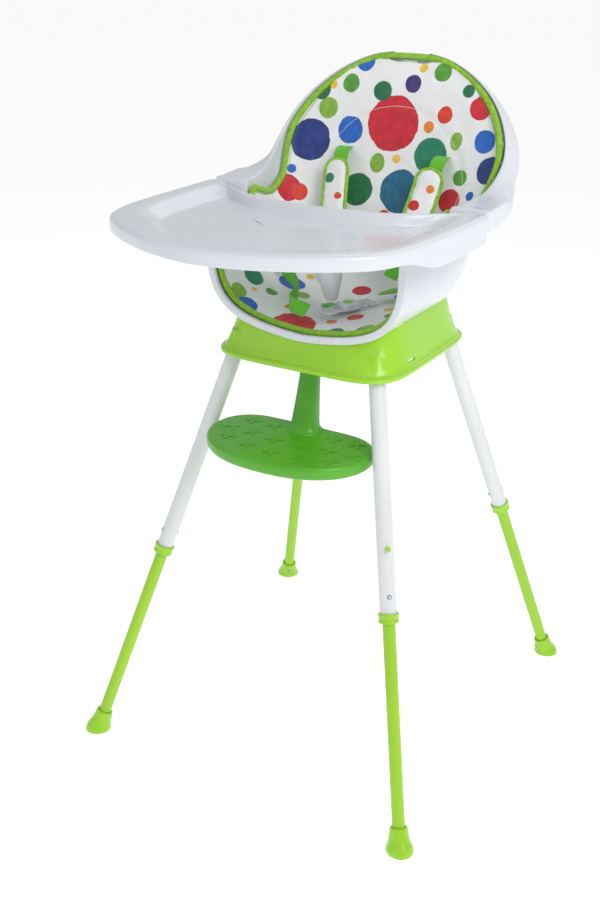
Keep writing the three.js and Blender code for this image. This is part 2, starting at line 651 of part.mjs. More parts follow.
// ---------- base ----------
const BASE_PROFILE = [              // [height, half-width, half-depth] of the outside
  [640, 153, 155], [641.5, 154, 156], [646, 154, 156], [647.5, 152.5, 154.5], [648.5, 148.5, 149.5],
  [662, 145, 139.5], [675, 141.5, 131.5], [690, 138.5, 126.5], [718, 133, 120],
];
const BASE_POWER = 5.6;
const baseRing = (z, x, y) => superellipse(x, y, z, BASE_POWER, 40);
const baseOutside = solidOf(ringLoft(BASE_PROFILE.map(([z, x, y]) => baseRing(z, x, y))));
const insideProfile = [[639, 151, 153], ...BASE_PROFILE.slice(4)];
const baseInside = solidOf(ringLoft(insideProfile.map(([z, x, y]) => {
  const rise = z === BASE_TOP ? 1 : 0;
  return baseRing(z + rise, x - BASE_WALL, y - BASE_WALL);
})));

// The footrest's stem as [height, half-width, half-depth]; it leans back as it rises.
const STEM = [
  [528, 27, 25], [535.6, 26, 24], [537.5, 24, 22], [541, 22, 19.5], [547, 20.8, 17.5], [560, 19.6, 16],
  [580, 18, 14.2], [613, 15.8, 12], [640, 15.2, 11.5], [670, 15, 11.2],
];
const stemY = (z) => -99.3 + 0.17 * (z - 640);
const stemRing = (z, x, y, grow = 0) => superellipse(x + grow, y + grow, z, 2.8, 24, stemY(z));

let base = baseOutside.subtract(baseInside);
const socketRod = rod(UPPER_R + 4, 692, UPPER_TOP + 9, ROUND);
const boreRod = rod(UPPER_R + BORE_GAP, 600, UPPER_TOP + BORE_GAP, ROUND);
let braces = solidOf(slab(232, 4, 24, 0, -117, 660)).add(solidOf(slab(232, 4, 24, 0, 117, 660)));
braces = braces.add(solidOf(slab(4, 232, 18, -117, 0, 663))).add(solidOf(slab(4, 232, 18, 117, 0, 663)));
braces = braces.add(solidOf(slab(8, 12, 24, 0, -112, 660)));
const stemSocket = [646, 674].map((z) => stemRing(z, 15.2, 11.5, 4.3));
braces = braces.add(solidOf(ringLoft(stemSocket)));
for (const [sideX, sideY] of LEGS) {
  const { matrix } = legFrame(sideX, sideY);
  braces = braces.add(solidOf(socketRod.clone().applyMatrix4(matrix)));
}
base = base.add(braces.intersect(baseOutside));
for (const [sideX, sideY] of LEGS) {
  const { matrix } = legFrame(sideX, sideY);
  base = base.subtract(solidOf(boreRod.clone().applyMatrix4(matrix)));
}
base = base.subtract(solidOf(ringLoft([[600, 15.4, 11.7], [670.3, 15.2, 11.4]].map(
  ([z, x, y]) => stemRing(z, x, y, GAP),
))));
base = base.subtract(shellEnvelope(0.4));
const screwHole = solidOf(rod(2.3, SCREW_LOW, 680, 12).rotateX(Math.PI / 2).translate(0, stemY(SCREW_SEAT), 0));
base = base.subtract(screwHole);
base = base.subtract(solidOf(slab(400, 20, 4, 0, -61, 657)));
addPiece('base', geometryOf(base), lime);

// ---------- footrest ----------
const PLATE_OUTLINE = [             // right half, from the front to the back
  [0, -254], [45, -250], [84, -236], [117, -208], [132, -171], [129, -136],
  [111, -111], [86, -99], [58, -96], [30, -95], [0, -92],
];
const plateCurve = new THREE.CatmullRomCurve3(
  [...PLATE_OUTLINE, ...PLATE_OUTLINE.slice(1, -1).reverse().map(([x, y]) => [-x, y])]
    .map(([x, y]) => new THREE.Vector3(x, y, 0)), true, 'centripetal');
const platePoints = plateCurve.getPoints(48).slice(0, -1);
const PLATE_MIDDLE = new THREE.Vector3(0, -172, 0);
const plateRing = (inset, drop) => platePoints.map((p) => {
  const inward = PLATE_MIDDLE.clone().sub(p);
  return p.clone().addScaledVector(inward.normalize(), inset).setZ(PLATE_TOP - drop);
});
const plate = solidOf(ringLoft([
  plateRing(7, 0), plateRing(2.2, 1.6), plateRing(0, 5.5),
  plateRing(0.5, PLATE_THICK - 4), plateRing(4, PLATE_THICK - 0.6), plateRing(8, PLATE_THICK),
]));
const stem = solidOf(ringLoft(STEM.map(([z, x, y]) => stemRing(z, x, y))));
addPiece('footrest', geometryOf(plate.add(stem).subtract(screwHole)), green);
const stemScrew = turned([
  [0, SCREW_LOW + 2], [2, SCREW_LOW + 2],
  [2, SCREW_SEAT + GAP], [5, SCREW_SEAT + GAP], [5, SCREW_SEAT + 2],
  [4, SCREW_SEAT + 3], [0, SCREW_SEAT + 3.2],
], 12);
addPiece('footrest_screw', stemScrew.rotateX(Math.PI / 2).translate(0, stemY(SCREW_SEAT), 0), steel);

// The floor rectangle of the whole chair is centred on the origin.
chair.updateMatrixWorld(true);
const extent = new THREE.Box3().setFromObject(chair, true);
chair.position.y = -(extent.min.y + extent.max.y) / 2;

export default chair;
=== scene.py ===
"""A baby high chair with a printed liner, a sliding tray and two-part legs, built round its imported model."""
import math

import bmesh
import bpy
from bpy.props import FloatProperty, FloatVectorProperty, IntProperty, PointerProperty
from mathutils import Matrix, Vector, noise
from mathutils.bvhtree import BVHTree
from mathutils.kdtree import KDTree


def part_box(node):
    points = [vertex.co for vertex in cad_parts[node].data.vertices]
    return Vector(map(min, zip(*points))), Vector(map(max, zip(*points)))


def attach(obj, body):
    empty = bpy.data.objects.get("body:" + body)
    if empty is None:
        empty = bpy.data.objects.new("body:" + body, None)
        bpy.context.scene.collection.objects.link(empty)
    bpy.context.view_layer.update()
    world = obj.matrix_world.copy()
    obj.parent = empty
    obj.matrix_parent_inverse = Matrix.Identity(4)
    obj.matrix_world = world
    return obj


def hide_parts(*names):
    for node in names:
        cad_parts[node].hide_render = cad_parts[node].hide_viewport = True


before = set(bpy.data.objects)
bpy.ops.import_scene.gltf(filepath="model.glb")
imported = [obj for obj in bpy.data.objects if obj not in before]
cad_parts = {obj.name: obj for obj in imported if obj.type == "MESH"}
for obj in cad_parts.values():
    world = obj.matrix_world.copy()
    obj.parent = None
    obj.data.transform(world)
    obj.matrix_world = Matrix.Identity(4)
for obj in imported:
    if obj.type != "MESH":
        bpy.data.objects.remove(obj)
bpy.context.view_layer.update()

bl_info = {
    "name": "High Chair",
    "version": (1, 0, 0),
    "blender": (4, 5, 0),
    "location": "View3D > Sidebar > High Chair",
    "description": "Builds a baby high chair round its packed model",
    "category": "Add Mesh",
}

MM = 0.001
SHIFT = sum(corner[1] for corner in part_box("base")) / 2     # the legs' middle, along Y
SIDES = ((-1, "left"), (1, "right"))
LEGS = ((-1, -1, "front_left"), (1, -1, "front_right"), (-1, 1, "rear_left"), (1, 1, "rear_right"))


def place(x, y, z):
    """A point in millimetres from the middle of the legs, as metres in the model's frame."""
    return Vector((x * MM, y * MM + SHIFT, z * MM))


# ---------------------------------------------------------------- settings

class ShellSettings(bpy.types.PropertyGroup):
    color: FloatVectorProperty(name="White plastic", description="Colour of the moulded shell and tray",
                               default=(0.70, 0.73, 0.78), subtype="COLOR", size=3, min=0, max=1)
    roughness: FloatProperty(name="Roughness", description="Gloss of the white plastic",
                             default=0.27, min=0, max=1, subtype="FACTOR")
    wall: FloatProperty(name="Wall", description="Thickness of the seat shell",
                        default=0.0036, unit="LENGTH")
    front_lip: FloatProperty(name="Front lip", description="Width of the shell's front lip",
                             default=0.011, unit="LENGTH")


class LinerSettings(bpy.types.PropertyGroup):
    color: FloatVectorProperty(name="Cloth", description="Ground colour of the printed cloth",
                               default=(0.86, 0.87, 0.88), subtype="COLOR", size=3, min=0, max=1)
    piping_color: FloatVectorProperty(name="Piping", description="Colour of the piping",
                                      default=(0.30, 0.62, 0.03), subtype="COLOR", size=3, min=0, max=1)
    piping_radius: FloatProperty(name="Piping radius", description="Radius of the piping round the liner",
                                 default=0.0042, unit="LENGTH")
    thickness: FloatProperty(name="Padding", description="Thickness of the liner before it swells",
                             default=0.007, unit="LENGTH")
    pressure: FloatProperty(name="Pressure", description="Pressure that swells the padding", default=4.0)
    voxel: FloatProperty(name="Voxel", description="Grid of the padding's remesh",
                         default=0.0052, unit="LENGTH")
    weave: FloatProperty(name="Weave", description="Thread pitch of the cloth", default=0.0007, unit="LENGTH")


class HarnessSettings(bpy.types.PropertyGroup):
    color: FloatVectorProperty(name="Webbing", description="Colour of the webbing",
                               default=(0.13, 0.60, 0.012), subtype="COLOR", size=3, min=0, max=1)
    width: FloatProperty(name="Width", description="Width of the shoulder straps",
                         default=0.024, unit="LENGTH")
    thickness: FloatProperty(name="Thickness", description="Thickness of the webbing",
                             default=0.0016, unit="LENGTH")
    rib: FloatProperty(name="Rib pitch", description="Pitch of the webbing's ribs",
                       default=0.0012, unit="LENGTH")


class BaseSettings(bpy.types.PropertyGroup):
    color: FloatVectorProperty(name="Lime plastic", description="Colour of the base, collars and feet",
                               default=(0.33, 0.66, 0.022), subtype="COLOR", size=3, min=0, max=1)
    footrest_color: FloatVectorProperty(name="Green plastic", description="Colour of the footrest",
                                        default=(0.085, 0.40, 0.008), subtype="COLOR", size=3, min=0, max=1)
    wall: FloatProperty(name="Wall", description="Thickness of the base's wall", default=0.0035, unit="LENGTH")
    mark_size: FloatProperty(name="Grip mark", description="Length of a grip mark on the footrest",
                             default=0.027, unit="LENGTH")
    mark_height: FloatProperty(name="Grip height", description="Height of a grip mark",
                               default=0.0011, unit="LENGTH")


class LegSettings(bpy.types.PropertyGroup):
    upper_color: FloatVectorProperty(name="Upper tube", description="Colour of the upper tubes",
                                     default=(0.74, 0.76, 0.78), subtype="COLOR", size=3, min=0, max=1)
    lower_color: FloatVectorProperty(name="Lower tube", description="Colour of the lower tubes",
                                     default=(0.33, 0.62, 0.016), subtype="COLOR", size=3, min=0, max=1)
    upper_radius: FloatProperty(name="Upper radius", description="Radius of the upper tubes",
                                default=0.0125, unit="LENGTH")
    lower_radius: FloatProperty(name="Lower radius", description="Radius of the lower tubes",
                                default=0.0095, unit="LENGTH")
    segments: IntProperty(name="Segments", description="Sides of a turned piece", default=56, min=12)


class StageSettings(bpy.types.PropertyGroup):
    lens: FloatProperty(name="Lens", description="Focal length of the camera, in millimetres", default=47.8)
    azimuth: FloatProperty(name="Azimuth", description="Turn of the camera round the chair",
                           default=math.radians(30.27), subtype="ANGLE")
    elevation: FloatProperty(name="Elevation", description="How far the camera looks down",
                             default=math.radians(23.69), subtype="ANGLE")
    roll: FloatProperty(name="Roll", description="Tilt of the camera", default=math.radians(0.72),
                        subtype="ANGLE")
    floor: FloatVectorProperty(name="Floor", description="Colour of the floor", default=(0.98, 0.98, 0.98),
                               subtype="COLOR", size=3, min=0, max=1)
    glow: FloatProperty(name="Glow", description="Light given off by the floor", default=0.42, min=0)
    key: FloatProperty(name="Key light", description="Power of the key light", default=32.0, unit="POWER")


GROUPS = (("chair_shell", ShellSettings), ("chair_liner", LinerSettings), ("chair_harness", HarnessSettings),
          ("chair_base", BaseSettings), ("chair_legs", LegSettings), ("chair_stage", StageSettings))


def settings(name):
    return getattr(bpy.context.scene, name)


# ---------------------------------------------------------------- materials

class Value:
    """A socket that adds its own Math and Vector Math nodes when it is used in an expression."""

    def __init__(self, shader, socket):
        self.shader = shader
        self.socket = socket

    def _math(self, operation, a, b=0.0, c=0.0):
        return self.shader.node("ShaderNodeMath", {"operation": operation}, {0: a, 1: b, 2: c})

    def __add__(self, other):
        return self._math("ADD", self, other)

    def __radd__(self, other):
        return self._math("ADD", other, self)

    def __sub__(self, other):
        return self._math("SUBTRACT", self, other)

    def __rsub__(self, other):
        return self._math("SUBTRACT", other, self)

    def __mul__(self, other):
        return self._math("MULTIPLY", self, other)

    def __rmul__(self, other):
        return self._math("MULTIPLY", other, self)

    def __truediv__(self, other):
        return self._math("DIVIDE", self, other)

    def __pow__(self, other):
        return self._math("POWER", self, other)

    def sin(self):
        return self._math("SINE", self)

    def absolute(self):
        return self._math("ABSOLUTE", self)

    def most(self, other):
        return self._math("MAXIMUM", self, other)

    def smooth(self, low, high):
        """0 below low, 1 above high, and an even turn between."""
        return self.shader.node("ShaderNodeMapRange", {"interpolation_type": "SMOOTHSTEP"},
                                {"Value": self, "From Min": low, "From Max": high})


class Shader:
    """One material, with a single method for every node."""

    def __init__(self, name):
        self.material = bpy.data.materials.new(name)
        self.material.use_nodes = True
        self.tree = self.material.node_tree
        self.surface = self.tree.nodes["Principled BSDF"]

    def node(self, kind, options=None, inputs=None, output=0):
        made = self.tree.nodes.new(kind)
        for key, value in (options or {}).items():
            if key == "stops":
                while len(made.color_ramp.elements) < len(value):
                    made.color_ramp.elements.new(1.0)
                for element, (position, color) in zip(made.color_ramp.elements, value):
                    element.position = position
                    element.color = color
            else:
                setattr(made, key, value)
        for key, value in (inputs or {}).items():
            self.feed(made.inputs[key], value)
        return Value(self, made.outputs[output])

    def feed(self, socket, value):
        if isinstance(value, Value):
            self.tree.links.new(value.socket, socket)
        else:
            socket.default_value = value

    def set(self, **inputs):
        for key, value in inputs.items():
            self.feed(self.surface.inputs[key.replace("_", " ")], value)

    def mix(self, factor, a, b):
        inputs = {0: factor, 6: a, 7: b}
        return self.node("ShaderNodeMix", {"data_type": "RGBA"}, inputs, output=2)

    def vector(self, operation, a, b=(0.0, 0.0, 0.0), output=0):
        return self.node("ShaderNodeVectorMath", {"operation": operation}, {0: a, 1: b}, output)

    def coordinates(self):
        return self.node("ShaderNodeTexCoord", output=3)

    def attribute(self, name):
        return self.node("ShaderNodeAttribute", {"attribute_name": name}, output=1)

    def noise(self, vector, scale, detail=2.0, roughness=0.5):
        return self.node("ShaderNodeTexNoise", None,
                         {"Vector": vector, "Scale": scale, "Detail": detail, "Roughness": roughness})

    def parts(self, vector):
        split = self.node("ShaderNodeSeparateXYZ", None, {0: vector})
        return [Value(self, socket) for socket in split.socket.node.outputs]

    def bump(self, height, distance, strength=1.0):
        inputs = {"Height": height, "Distance": distance, "Strength": strength}
        return self.node("ShaderNodeBump", None, inputs)


MADE = {}


def material(name):
    """Makes a material once, from the function of the same name."""
    if name not in MADE:
        MADE[name] = MATERIALS[name]()
    return MADE[name]


def rgba(color, scale=1.0):
    return (color[0] * scale, color[1] * scale, color[2] * scale, 1.0)


def moulded(name, color, roughness, grain=0.000001, grain_scale=900.0, variation=0.06):
    """Moulded plastic: faint clouding in its colour, uneven gloss and a fine surface grain."""
    shader = Shader(name)
    where = shader.coordinates()
    cloud = shader.noise(where, 9.0, 3.0)
    scuff = shader.noise(where, 40.0, 2.0)
    tone = shader.mix(cloud.smooth(0.3, 0.75), rgba(color, 1 - variation), rgba(color, 1 + variation / 2))
    fine = shader.noise(where, grain_scale, 2.0)
    ripple = shader.noise(where, 26.0, 1.0)
    shader.set(Base_Color=tone, Roughness=roughness + 0.04 * scuff.smooth(0.35, 0.8),
               Normal=shader.bump(fine + 8.0 * ripple, grain))
    shader.set(Specular_IOR_Level=0.5, Coat_Weight=0.25, Coat_Roughness=0.12)
    return shader.material


def white_plastic():
    own = settings("chair_shell")
    return moulded("white_plastic", own.color, own.roughness, grain=0.0, variation=0.02)


def lime_plastic():
    return moulded("lime_plastic", settings("chair_base").color, 0.24)


def green_plastic():
    color = settings("chair_base").footrest_color
    return moulded("green_plastic", color, 0.4, grain=0.00002, grain_scale=1400.0)


def tube_coat(name, color, roughness):
    """Powder coat on a tube: orange-peel bump and slight drift in tone along it."""
    shader = Shader(name)
    where = shader.coordinates()
    peel = shader.noise(where, 420.0, 2.0)
    drift = shader.noise(where, 6.0, 2.0)
    tone = shader.mix(drift.smooth(0.3, 0.7), rgba(color, 0.96), rgba(color, 1.03))
    shader.set(Base_Color=tone, Roughness=roughness + 0.06 * peel, Normal=shader.bump(peel, 0.000008))
    shader.set(Coat_Weight=0.2, Coat_Roughness=0.2)
    return shader.material


def white_tube():
    return tube_coat("white_tube", settings("chair_legs").upper_color, 0.32)


def lime_tube():
    return tube_coat("lime_tube", settings("chair_legs").lower_color, 0.38)


def steel():
    shader = Shader("steel")
    where = shader.coordinates()
    brushed = shader.noise(where, 700.0, 3.0)
    shader.set(Base_Color=shader.mix(brushed, (0.42, 0.43, 0.45, 1), (0.62, 0.63, 0.65, 1)),
               Roughness=0.24 + 0.16 * brushed, Normal=shader.bump(brushed, 0.000005))
    shader.set(Metallic=1.0)
    return shader.material


def threads(across, along, pitch):
    """Height of a plain weave from two coordinates in metres."""
    turn = 2 * math.pi / pitch
    over = (across * turn).sin() * 0.5 + 0.5
    under = (along * turn).sin() * 0.5 + 0.5
    return over * (1 - under * 0.5) + under * 0.5


def webbing():
    """Woven strap: close ribs along its length, a selvedge each side and uneven dye."""
    shader = Shader("webbing")
    own = settings("chair_harness")
    lie = shader.attribute("lie")
    across, along, _ = shader.parts(lie)
    rib = (along * (2 * math.pi / own.rib)).sin() * 0.5 + 0.5
    warp = (across * (2 * math.pi / (own.rib * 1.6))).sin() * 0.5 + 0.5
    edge = across.absolute().smooth(0.0085, 0.0105)
    fuzz = shader.noise(shader.coordinates(), 600.0, 3.0)
    shade = (rib * 0.45 + warp * 0.3 + fuzz * 0.25)
    tone = shader.mix(shade, rgba(own.color, 0.72), rgba(own.color, 1.18))
    tone = shader.mix(edge * 0.35, tone, rgba(own.color, 0.6))
    shader.set(Base_Color=tone, Roughness=0.62 + 0.2 * fuzz,
               Normal=shader.bump(rib * 0.7 + warp * 0.5 + fuzz * 0.3 + edge * 0.5, 0.00035))
    shader.set(Sheen_Weight=0.25, Sheen_Roughness=0.5)
    return shader.material


def piping_cloth():
    """Bias tape round a cord: a fine slanted weave with small puckers."""
    shader = Shader("piping_cloth")
    own = settings("chair_liner")
    where = shader.coordinates()
    x, y, z = shader.parts(where)
    slant = ((x + y + z) * (2 * math.pi / 0.0011)).sin() * 0.5 + 0.5
    pucker = shader.noise(where, 140.0, 3.0)
    tone = shader.mix(pucker.smooth(0.3, 0.75), rgba(own.piping_color, 0.78), rgba(own.piping_color, 1.12))
    shader.set(Base_Color=tone, Roughness=0.7 + 0.15 * pucker,
               Normal=shader.bump(slant * 0.4 + pucker * 1.2, 0.0004))
    shader.set(Sheen_Weight=0.2, Sheen_Roughness=0.5)
    return shader.material


def thread():
    shader = Shader("thread")
    where = shader.coordinates()
    twist = shader.noise(where, 1500.0, 2.0)
    shader.set(Base_Color=shader.mix(twist, (0.68, 0.74, 0.6, 1), (0.9, 0.93, 0.86, 1)),
               Roughness=0.6 + 0.2 * twist)
    return shader.material


def lime_thread():
    shader = Shader("lime_thread")
    color = settings("chair_liner").piping_color
    twist = shader.noise(shader.coordinates(), 1500.0, 2.0)
    shader.set(Base_Color=shader.mix(twist, rgba(color, 0.5), rgba(color, 0.85)), Roughness=0.6 + 0.2 * twist)
    return shader.material


# Print colours.
RED = (0.62, 0.012, 0.03)
TOMATO = (0.72, 0.045, 0.02)
NAVY = (0.012, 0.035, 0.22)
BLUE = (0.01, 0.13, 0.56)
TEAL = (0.008, 0.14, 0.26)
GREEN = (0.012, 0.16, 0.06)
EMERALD = (0.008, 0.22, 0.12)
LEAF = (0.09, 0.34, 0.035)
LIME = (0.24, 0.46, 0.045)
YELLOW = (0.88, 0.56, 0.06)
ORANGE = (0.85, 0.24, 0.03)
PURPLE = (0.055, 0.03, 0.17)

# Printed dots in millimetres, as (x, z) on the back or (x, y) on the seat, with radius, height
# against width and colour.
BACK_DOTS = (
    (-10, 950, 43, 1, RED), (-148, 915, 34, 1, NAVY), (-82, 935, 22, 1, BLUE), (-126, 965, 17, 1, LIME),
    (-92, 1004, 15, 1, LEAF), (-124, 1001, 7, 1, YELLOW), (14, 1010, 14, 1, PURPLE), (26, 1034, 7, 1, YELLOW),
    (76, 969, 13, 1.1, TOMATO), (52, 950, 10, 1, ORANGE), (102, 933, 11, 1.4, LIME),
    (62, 909, 28, 1, EMERALD), (150, 938, 18, 1, BLUE), (133, 984, 18, 1, RED), (168, 900, 22, 1, NAVY),
    (120, 883, 13, 1, LEAF), (145, 861, 8, 1, BLUE), (110, 849, 19, 1, RED), (20, 852, 34, 1, TEAL),
    (5, 899, 8, 1, YELLOW), (-27, 889, 13, 1.3, LIME), (-53, 848, 26, 1, GREEN), (-166, 872, 8, 1, BLUE),
    (-170, 842, 22, 1, RED), (-146, 838, 14, 1, TOMATO), (-74, 1038, 15, 1, BLUE), (-142, 992, 15, 1, GREEN),
    (60, 1030, 14, 1, LEAF), (-36, 996, 16, 1, GREEN), (108, 1006, 10, 1, GREEN), (0, 812, 12, 1, TOMATO),
    (88, 808, 20, 1, NAVY), (-92, 806, 18, 1, LIME), (60, 775, 16, 1, ORANGE), (-30, 768, 20, 1, BLUE),
)
SEAT_DOTS = (
    (-140, -47, 21, 1, EMERALD), (-130, -100, 14, 1, LIME), (-122, -70, 7, 1, YELLOW), (-104, 15, 22, 1, BLUE),
    (-106, -44, 11, 1, LEAF), (-28, -108, 34, 1, RED), (-108, -110, 17, 1, BLUE), (46, -50, 14, 1, TOMATO),
    (20, -76, 9, 1, ORANGE), (44, -112, 15, 1, EMERALD), (90, -108, 17, 1, LIME), (-96, 58, 8, 1, YELLOW),
    (-5, 66, 16, 1, RED), (-44, 30, 10, 1, ORANGE), (112, -48, 18, 1, GREEN), (70, 60, 14, 1, BLUE),
    (-62, -62, 9, 1, ORANGE), (0, -10, 18, 1, NAVY), (88, -10, 15, 1, YELLOW), (-70, -10, 13, 1, LIME),
)

def print_on(shader, ground, dots):
    """Adds round dots to a ground colour: slightly wavering edges and a mottled ink."""
    where = shader.coordinates()
    waver = shader.noise(where, 70.0, 2.0)
    mottle = shader.noise(where, 95.0, 3.0, 0.6)
    shade = mottle.smooth(0.3, 0.7)
    color = ground
    for spot, radius, tall, ink in dots:
        apart = shader.vector("SUBTRACT", where, tuple(spot))
        scaled = shader.vector("MULTIPLY", apart, (1 / radius, 1 / radius, 1 / (radius * tall)))
        reach = shader.vector("LENGTH", scaled, output=1) + (waver - 0.5) * 0.16
        soft = 0.0004 / radius
        inside = 1 - reach.smooth(1 - soft, 1 + soft)
        mottled = shader.mix(shade, rgba(ink, 0.84), rgba(tuple(c * 1.08 + 0.008 for c in ink)))
        color = shader.mix(inside, color, mottled)
    return color


def printed_cloth(name, dots):
    shader = Shader(name)
    own = settings("chair_liner")
    lie = shader.attribute("lie")
    across, along, _ = shader.parts(lie)
    weave = threads(across, along, own.weave)
    soil = shader.noise(shader.coordinates(), 14.0, 3.0)
    ground = shader.mix(soil.smooth(0.25, 0.75), rgba(own.color, 0.965), rgba(own.color, 1.02))
    color = print_on(shader, ground, dots)
    crease = shader.noise(shader.coordinates(), 46.0, 4.0, 0.6)
    height = weave * 0.08 + crease * 1.6
    shader.set(Base_Color=color, Roughness=0.5 + 0.2 * soil, Normal=shader.bump(height, 0.0009, 0.8))
    shader.set(Sheen_Weight=0.15, Sheen_Roughness=0.5)
    return shader.material


def liner_cloth():
    cloth = Cloth(settings("chair_liner").thickness)
    dots = [(cloth.on_back(x, z), r * MM, tall, ink) for x, z, r, tall, ink in BACK_DOTS]
    dots += [(cloth.on_seat(x, y), r * MM, tall, ink) for x, y, r, tall, ink in SEAT_DOTS]
    return printed_cloth("liner_cloth", dots)


# Dots on each shoulder pad in millimetres: (x, y, z) from the middle of the legs.
PAD_DOTS = (
    (-86, 108, 866, 11, 1, EMERALD), (-66, 96, 842, 9, 1, TOMATO), (-78, 86, 818, 8, 1, BLUE),
    (-60, 74, 796, 9, 1, LIME), (-66, 60, 772, 8, 1, ORANGE), (86, 106, 868, 8, 1, ORANGE),
    (66, 96, 842, 11, 1, RED), (80, 84, 818, 8, 1, ORANGE), (58, 72, 792, 8, 1, TEAL), (68, 60, 772, 7, 1, LEAF),
)


def pad_cloth():
    dots = [(place(x, y, z), r * MM, tall, ink) for x, y, z, r, tall, ink in PAD_DOTS]
    return printed_cloth("pad_cloth", dots)


MATERIALS = {f.__name__: f for f in (white_plastic, lime_plastic, green_plastic, white_tube, lime_tube, steel,
                                     webbing, piping_cloth, thread, lime_thread, liner_cloth, pad_cloth)}


# ---------------------------------------------------------------- mesh tools

def make_object(name, vertices, faces, finish, smooth=math.radians(35)):
    mesh = bpy.data.meshes.new(name)
    mesh.from_pydata([tuple(v) for v in vertices], [], faces)
    return finish_object(name, mesh, finish, smooth)


def finish_object(name, mesh, finish, smooth=math.radians(35)):
    mesh.validate()
    work = bmesh.new()
    work.from_mesh(mesh)
    bmesh.ops.remove_doubles(work, verts=work.verts, dist=1e-6)
    bmesh.ops.recalc_face_normals(work, faces=work.faces)
    work.to_mesh(mesh)
    work.free()
    made = bpy.data.objects.new(name, mesh)
    bpy.context.scene.collection.objects.link(made)
    mesh.materials.append(material(finish))
    mesh.shade_smooth()
    if smooth:
        mesh.set_sharp_from_angle(angle=smooth)
    return made


def loft(name, rings, finish, caps=True, closed=True, smooth=math.radians(35)):
    """A surface through rings of points with the same count."""
    vertices = [p for ring in rings for p in ring]
    count = len(rings[0])
    faces = []
    last = count if closed else count - 1
    for r in range(len(rings) - 1):
        for i in range(last):
            j = (i + 1) % count
            a = r * count
            b = a + count
            faces.append((a + i, a + j, b + j, b + i))
    if caps:
        faces.append(tuple(reversed(range(count))))
        start = (len(rings) - 1) * count
        faces.append(tuple(range(start, start + count)))
    return make_object(name, vertices, faces, finish, smooth)


def subdivide(piece, levels=2):
    modifier = piece.modifiers.new("Rounding", "SUBSURF")
    modifier.levels = levels
    modifier.render_levels = levels
    return piece


def bevel(piece, width, segments=2, angle=math.radians(35)):
    modifier = piece.modifiers.new("Edge", "BEVEL")
    modifier.width = width
    modifier.segments = segments
    modifier.limit_method = "ANGLE"
    modifier.angle_limit = angle
    return piece


def apply_modifiers(piece):
    """Bakes a piece's modifiers into a plain mesh."""
    graph = bpy.context.evaluated_depsgraph_get()
    mesh = bpy.data.meshes.new_from_object(piece.evaluated_get(graph))
    piece.modifiers.clear()
    piece.data = mesh
    return piece


def join(name, pieces):
    """One object from several, which share the first one's material."""
    work = bmesh.new()
    for piece in pieces:
        work.from_mesh(piece.data)
    mesh = bpy.data.meshes.new(name)
    work.to_mesh(mesh)
    work.free()
    for slot in pieces[0].data.materials:
        mesh.materials.append(slot)
    for piece in pieces:
        bpy.data.objects.remove(piece)
    made = bpy.data.objects.new(name, mesh)
    bpy.context.scene.collection.objects.link(made)
    return made


def cut(piece, cutters):
    """Cuts closed shapes out of a piece."""
    for cutter in cutters:
        modifier = piece.modifiers.new("Cut", "BOOLEAN")
        modifier.operation = "DIFFERENCE"
        modifier.solver = "EXACT"
        modifier.object = cutter
    apply_modifiers(piece)
    for cutter in cutters:
        bpy.data.objects.remove(cutter)
    piece.data.set_sharp_from_angle(angle=math.radians(35))
    return piece


def give(piece, body, slot, *nodes):
    """Hands a finished piece to its body, in place of its model nodes."""
    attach(piece, body)
    if nodes:
        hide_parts(*nodes)
    return piece


def catmull(points, share):
    """A point on a Catmull-Rom curve through tuples, at share from 0 to 1."""
    spans = len(points) - 1
    place_on = min(max(share, 0.0), 1.0) * spans
    i = min(int(place_on), spans - 1)
    t = place_on - i
    p = [points[min(max(k, 0), spans)] for k in (i - 1, i, i + 1, i + 2)]
    return tuple(0.5 * (2 * b + (c - a) * t + (2 * a - 5 * b + 4 * c - d) * t * t
                        + (3 * b - a - 3 * c + d) * t ** 3) for a, b, c, d in zip(*p))


def superellipse(half_x, half_y, z, power, count, middle_y=0.0):
    """A closed ring evenly spaced along its length."""
    dense = []
    for i in range(16 * count + 1):
        c = math.cos(2 * math.pi * i / (16 * count))
        s = math.sin(2 * math.pi * i / (16 * count))
        dense.append((math.copysign(half_x * abs(c) ** (2 / power), c),
                      math.copysign(half_y * abs(s) ** (2 / power), s)))
    reach = [0.0]
    for (x0, y0), (x1, y1) in zip(dense, dense[1:]):
        reach.append(reach[-1] + math.hypot(x1 - x0, y1 - y0))
    ring = []
    k = 0
    for i in range(count):
        wanted = reach[-1] * i / count
        while reach[k + 1] < wanted:
            k += 1
        share = (wanted - reach[k]) / max(reach[k + 1] - reach[k], 1e-9)
        x, y = (a + (b - a) * share for a, b in zip(dense[k], dense[k + 1]))
        ring.append(place(x, middle_y + y, z))
    return ring


def smoothstep(low, high, value):
    t = min(max((value - low) / (high - low), 0.0), 1.0)
    return t * t * (3 - 2 * t)


def turned(name, profile, finish, matrix=None, segments=None):
    """A turned piece from closed [radius, height] points in millimetres, about the matrix's Y."""
    segments = segments or settings("chair_legs").segments
    vertices = []
    faces = []
    count = len(profile)
    for i in range(segments):
        angle = 2 * math.pi * i / segments
        for r, h in profile:
            p = Vector((r * math.cos(angle) * MM, h * MM, r * math.sin(angle) * MM))
            vertices.append(matrix @ p if matrix else p)
        for k in range(count - 1):
            a = i * count + k
            b = ((i + 1) % segments) * count + k
            faces.append((a, a + 1, b + 1, b))
    made = make_object(name, vertices, faces, finish)
    return made


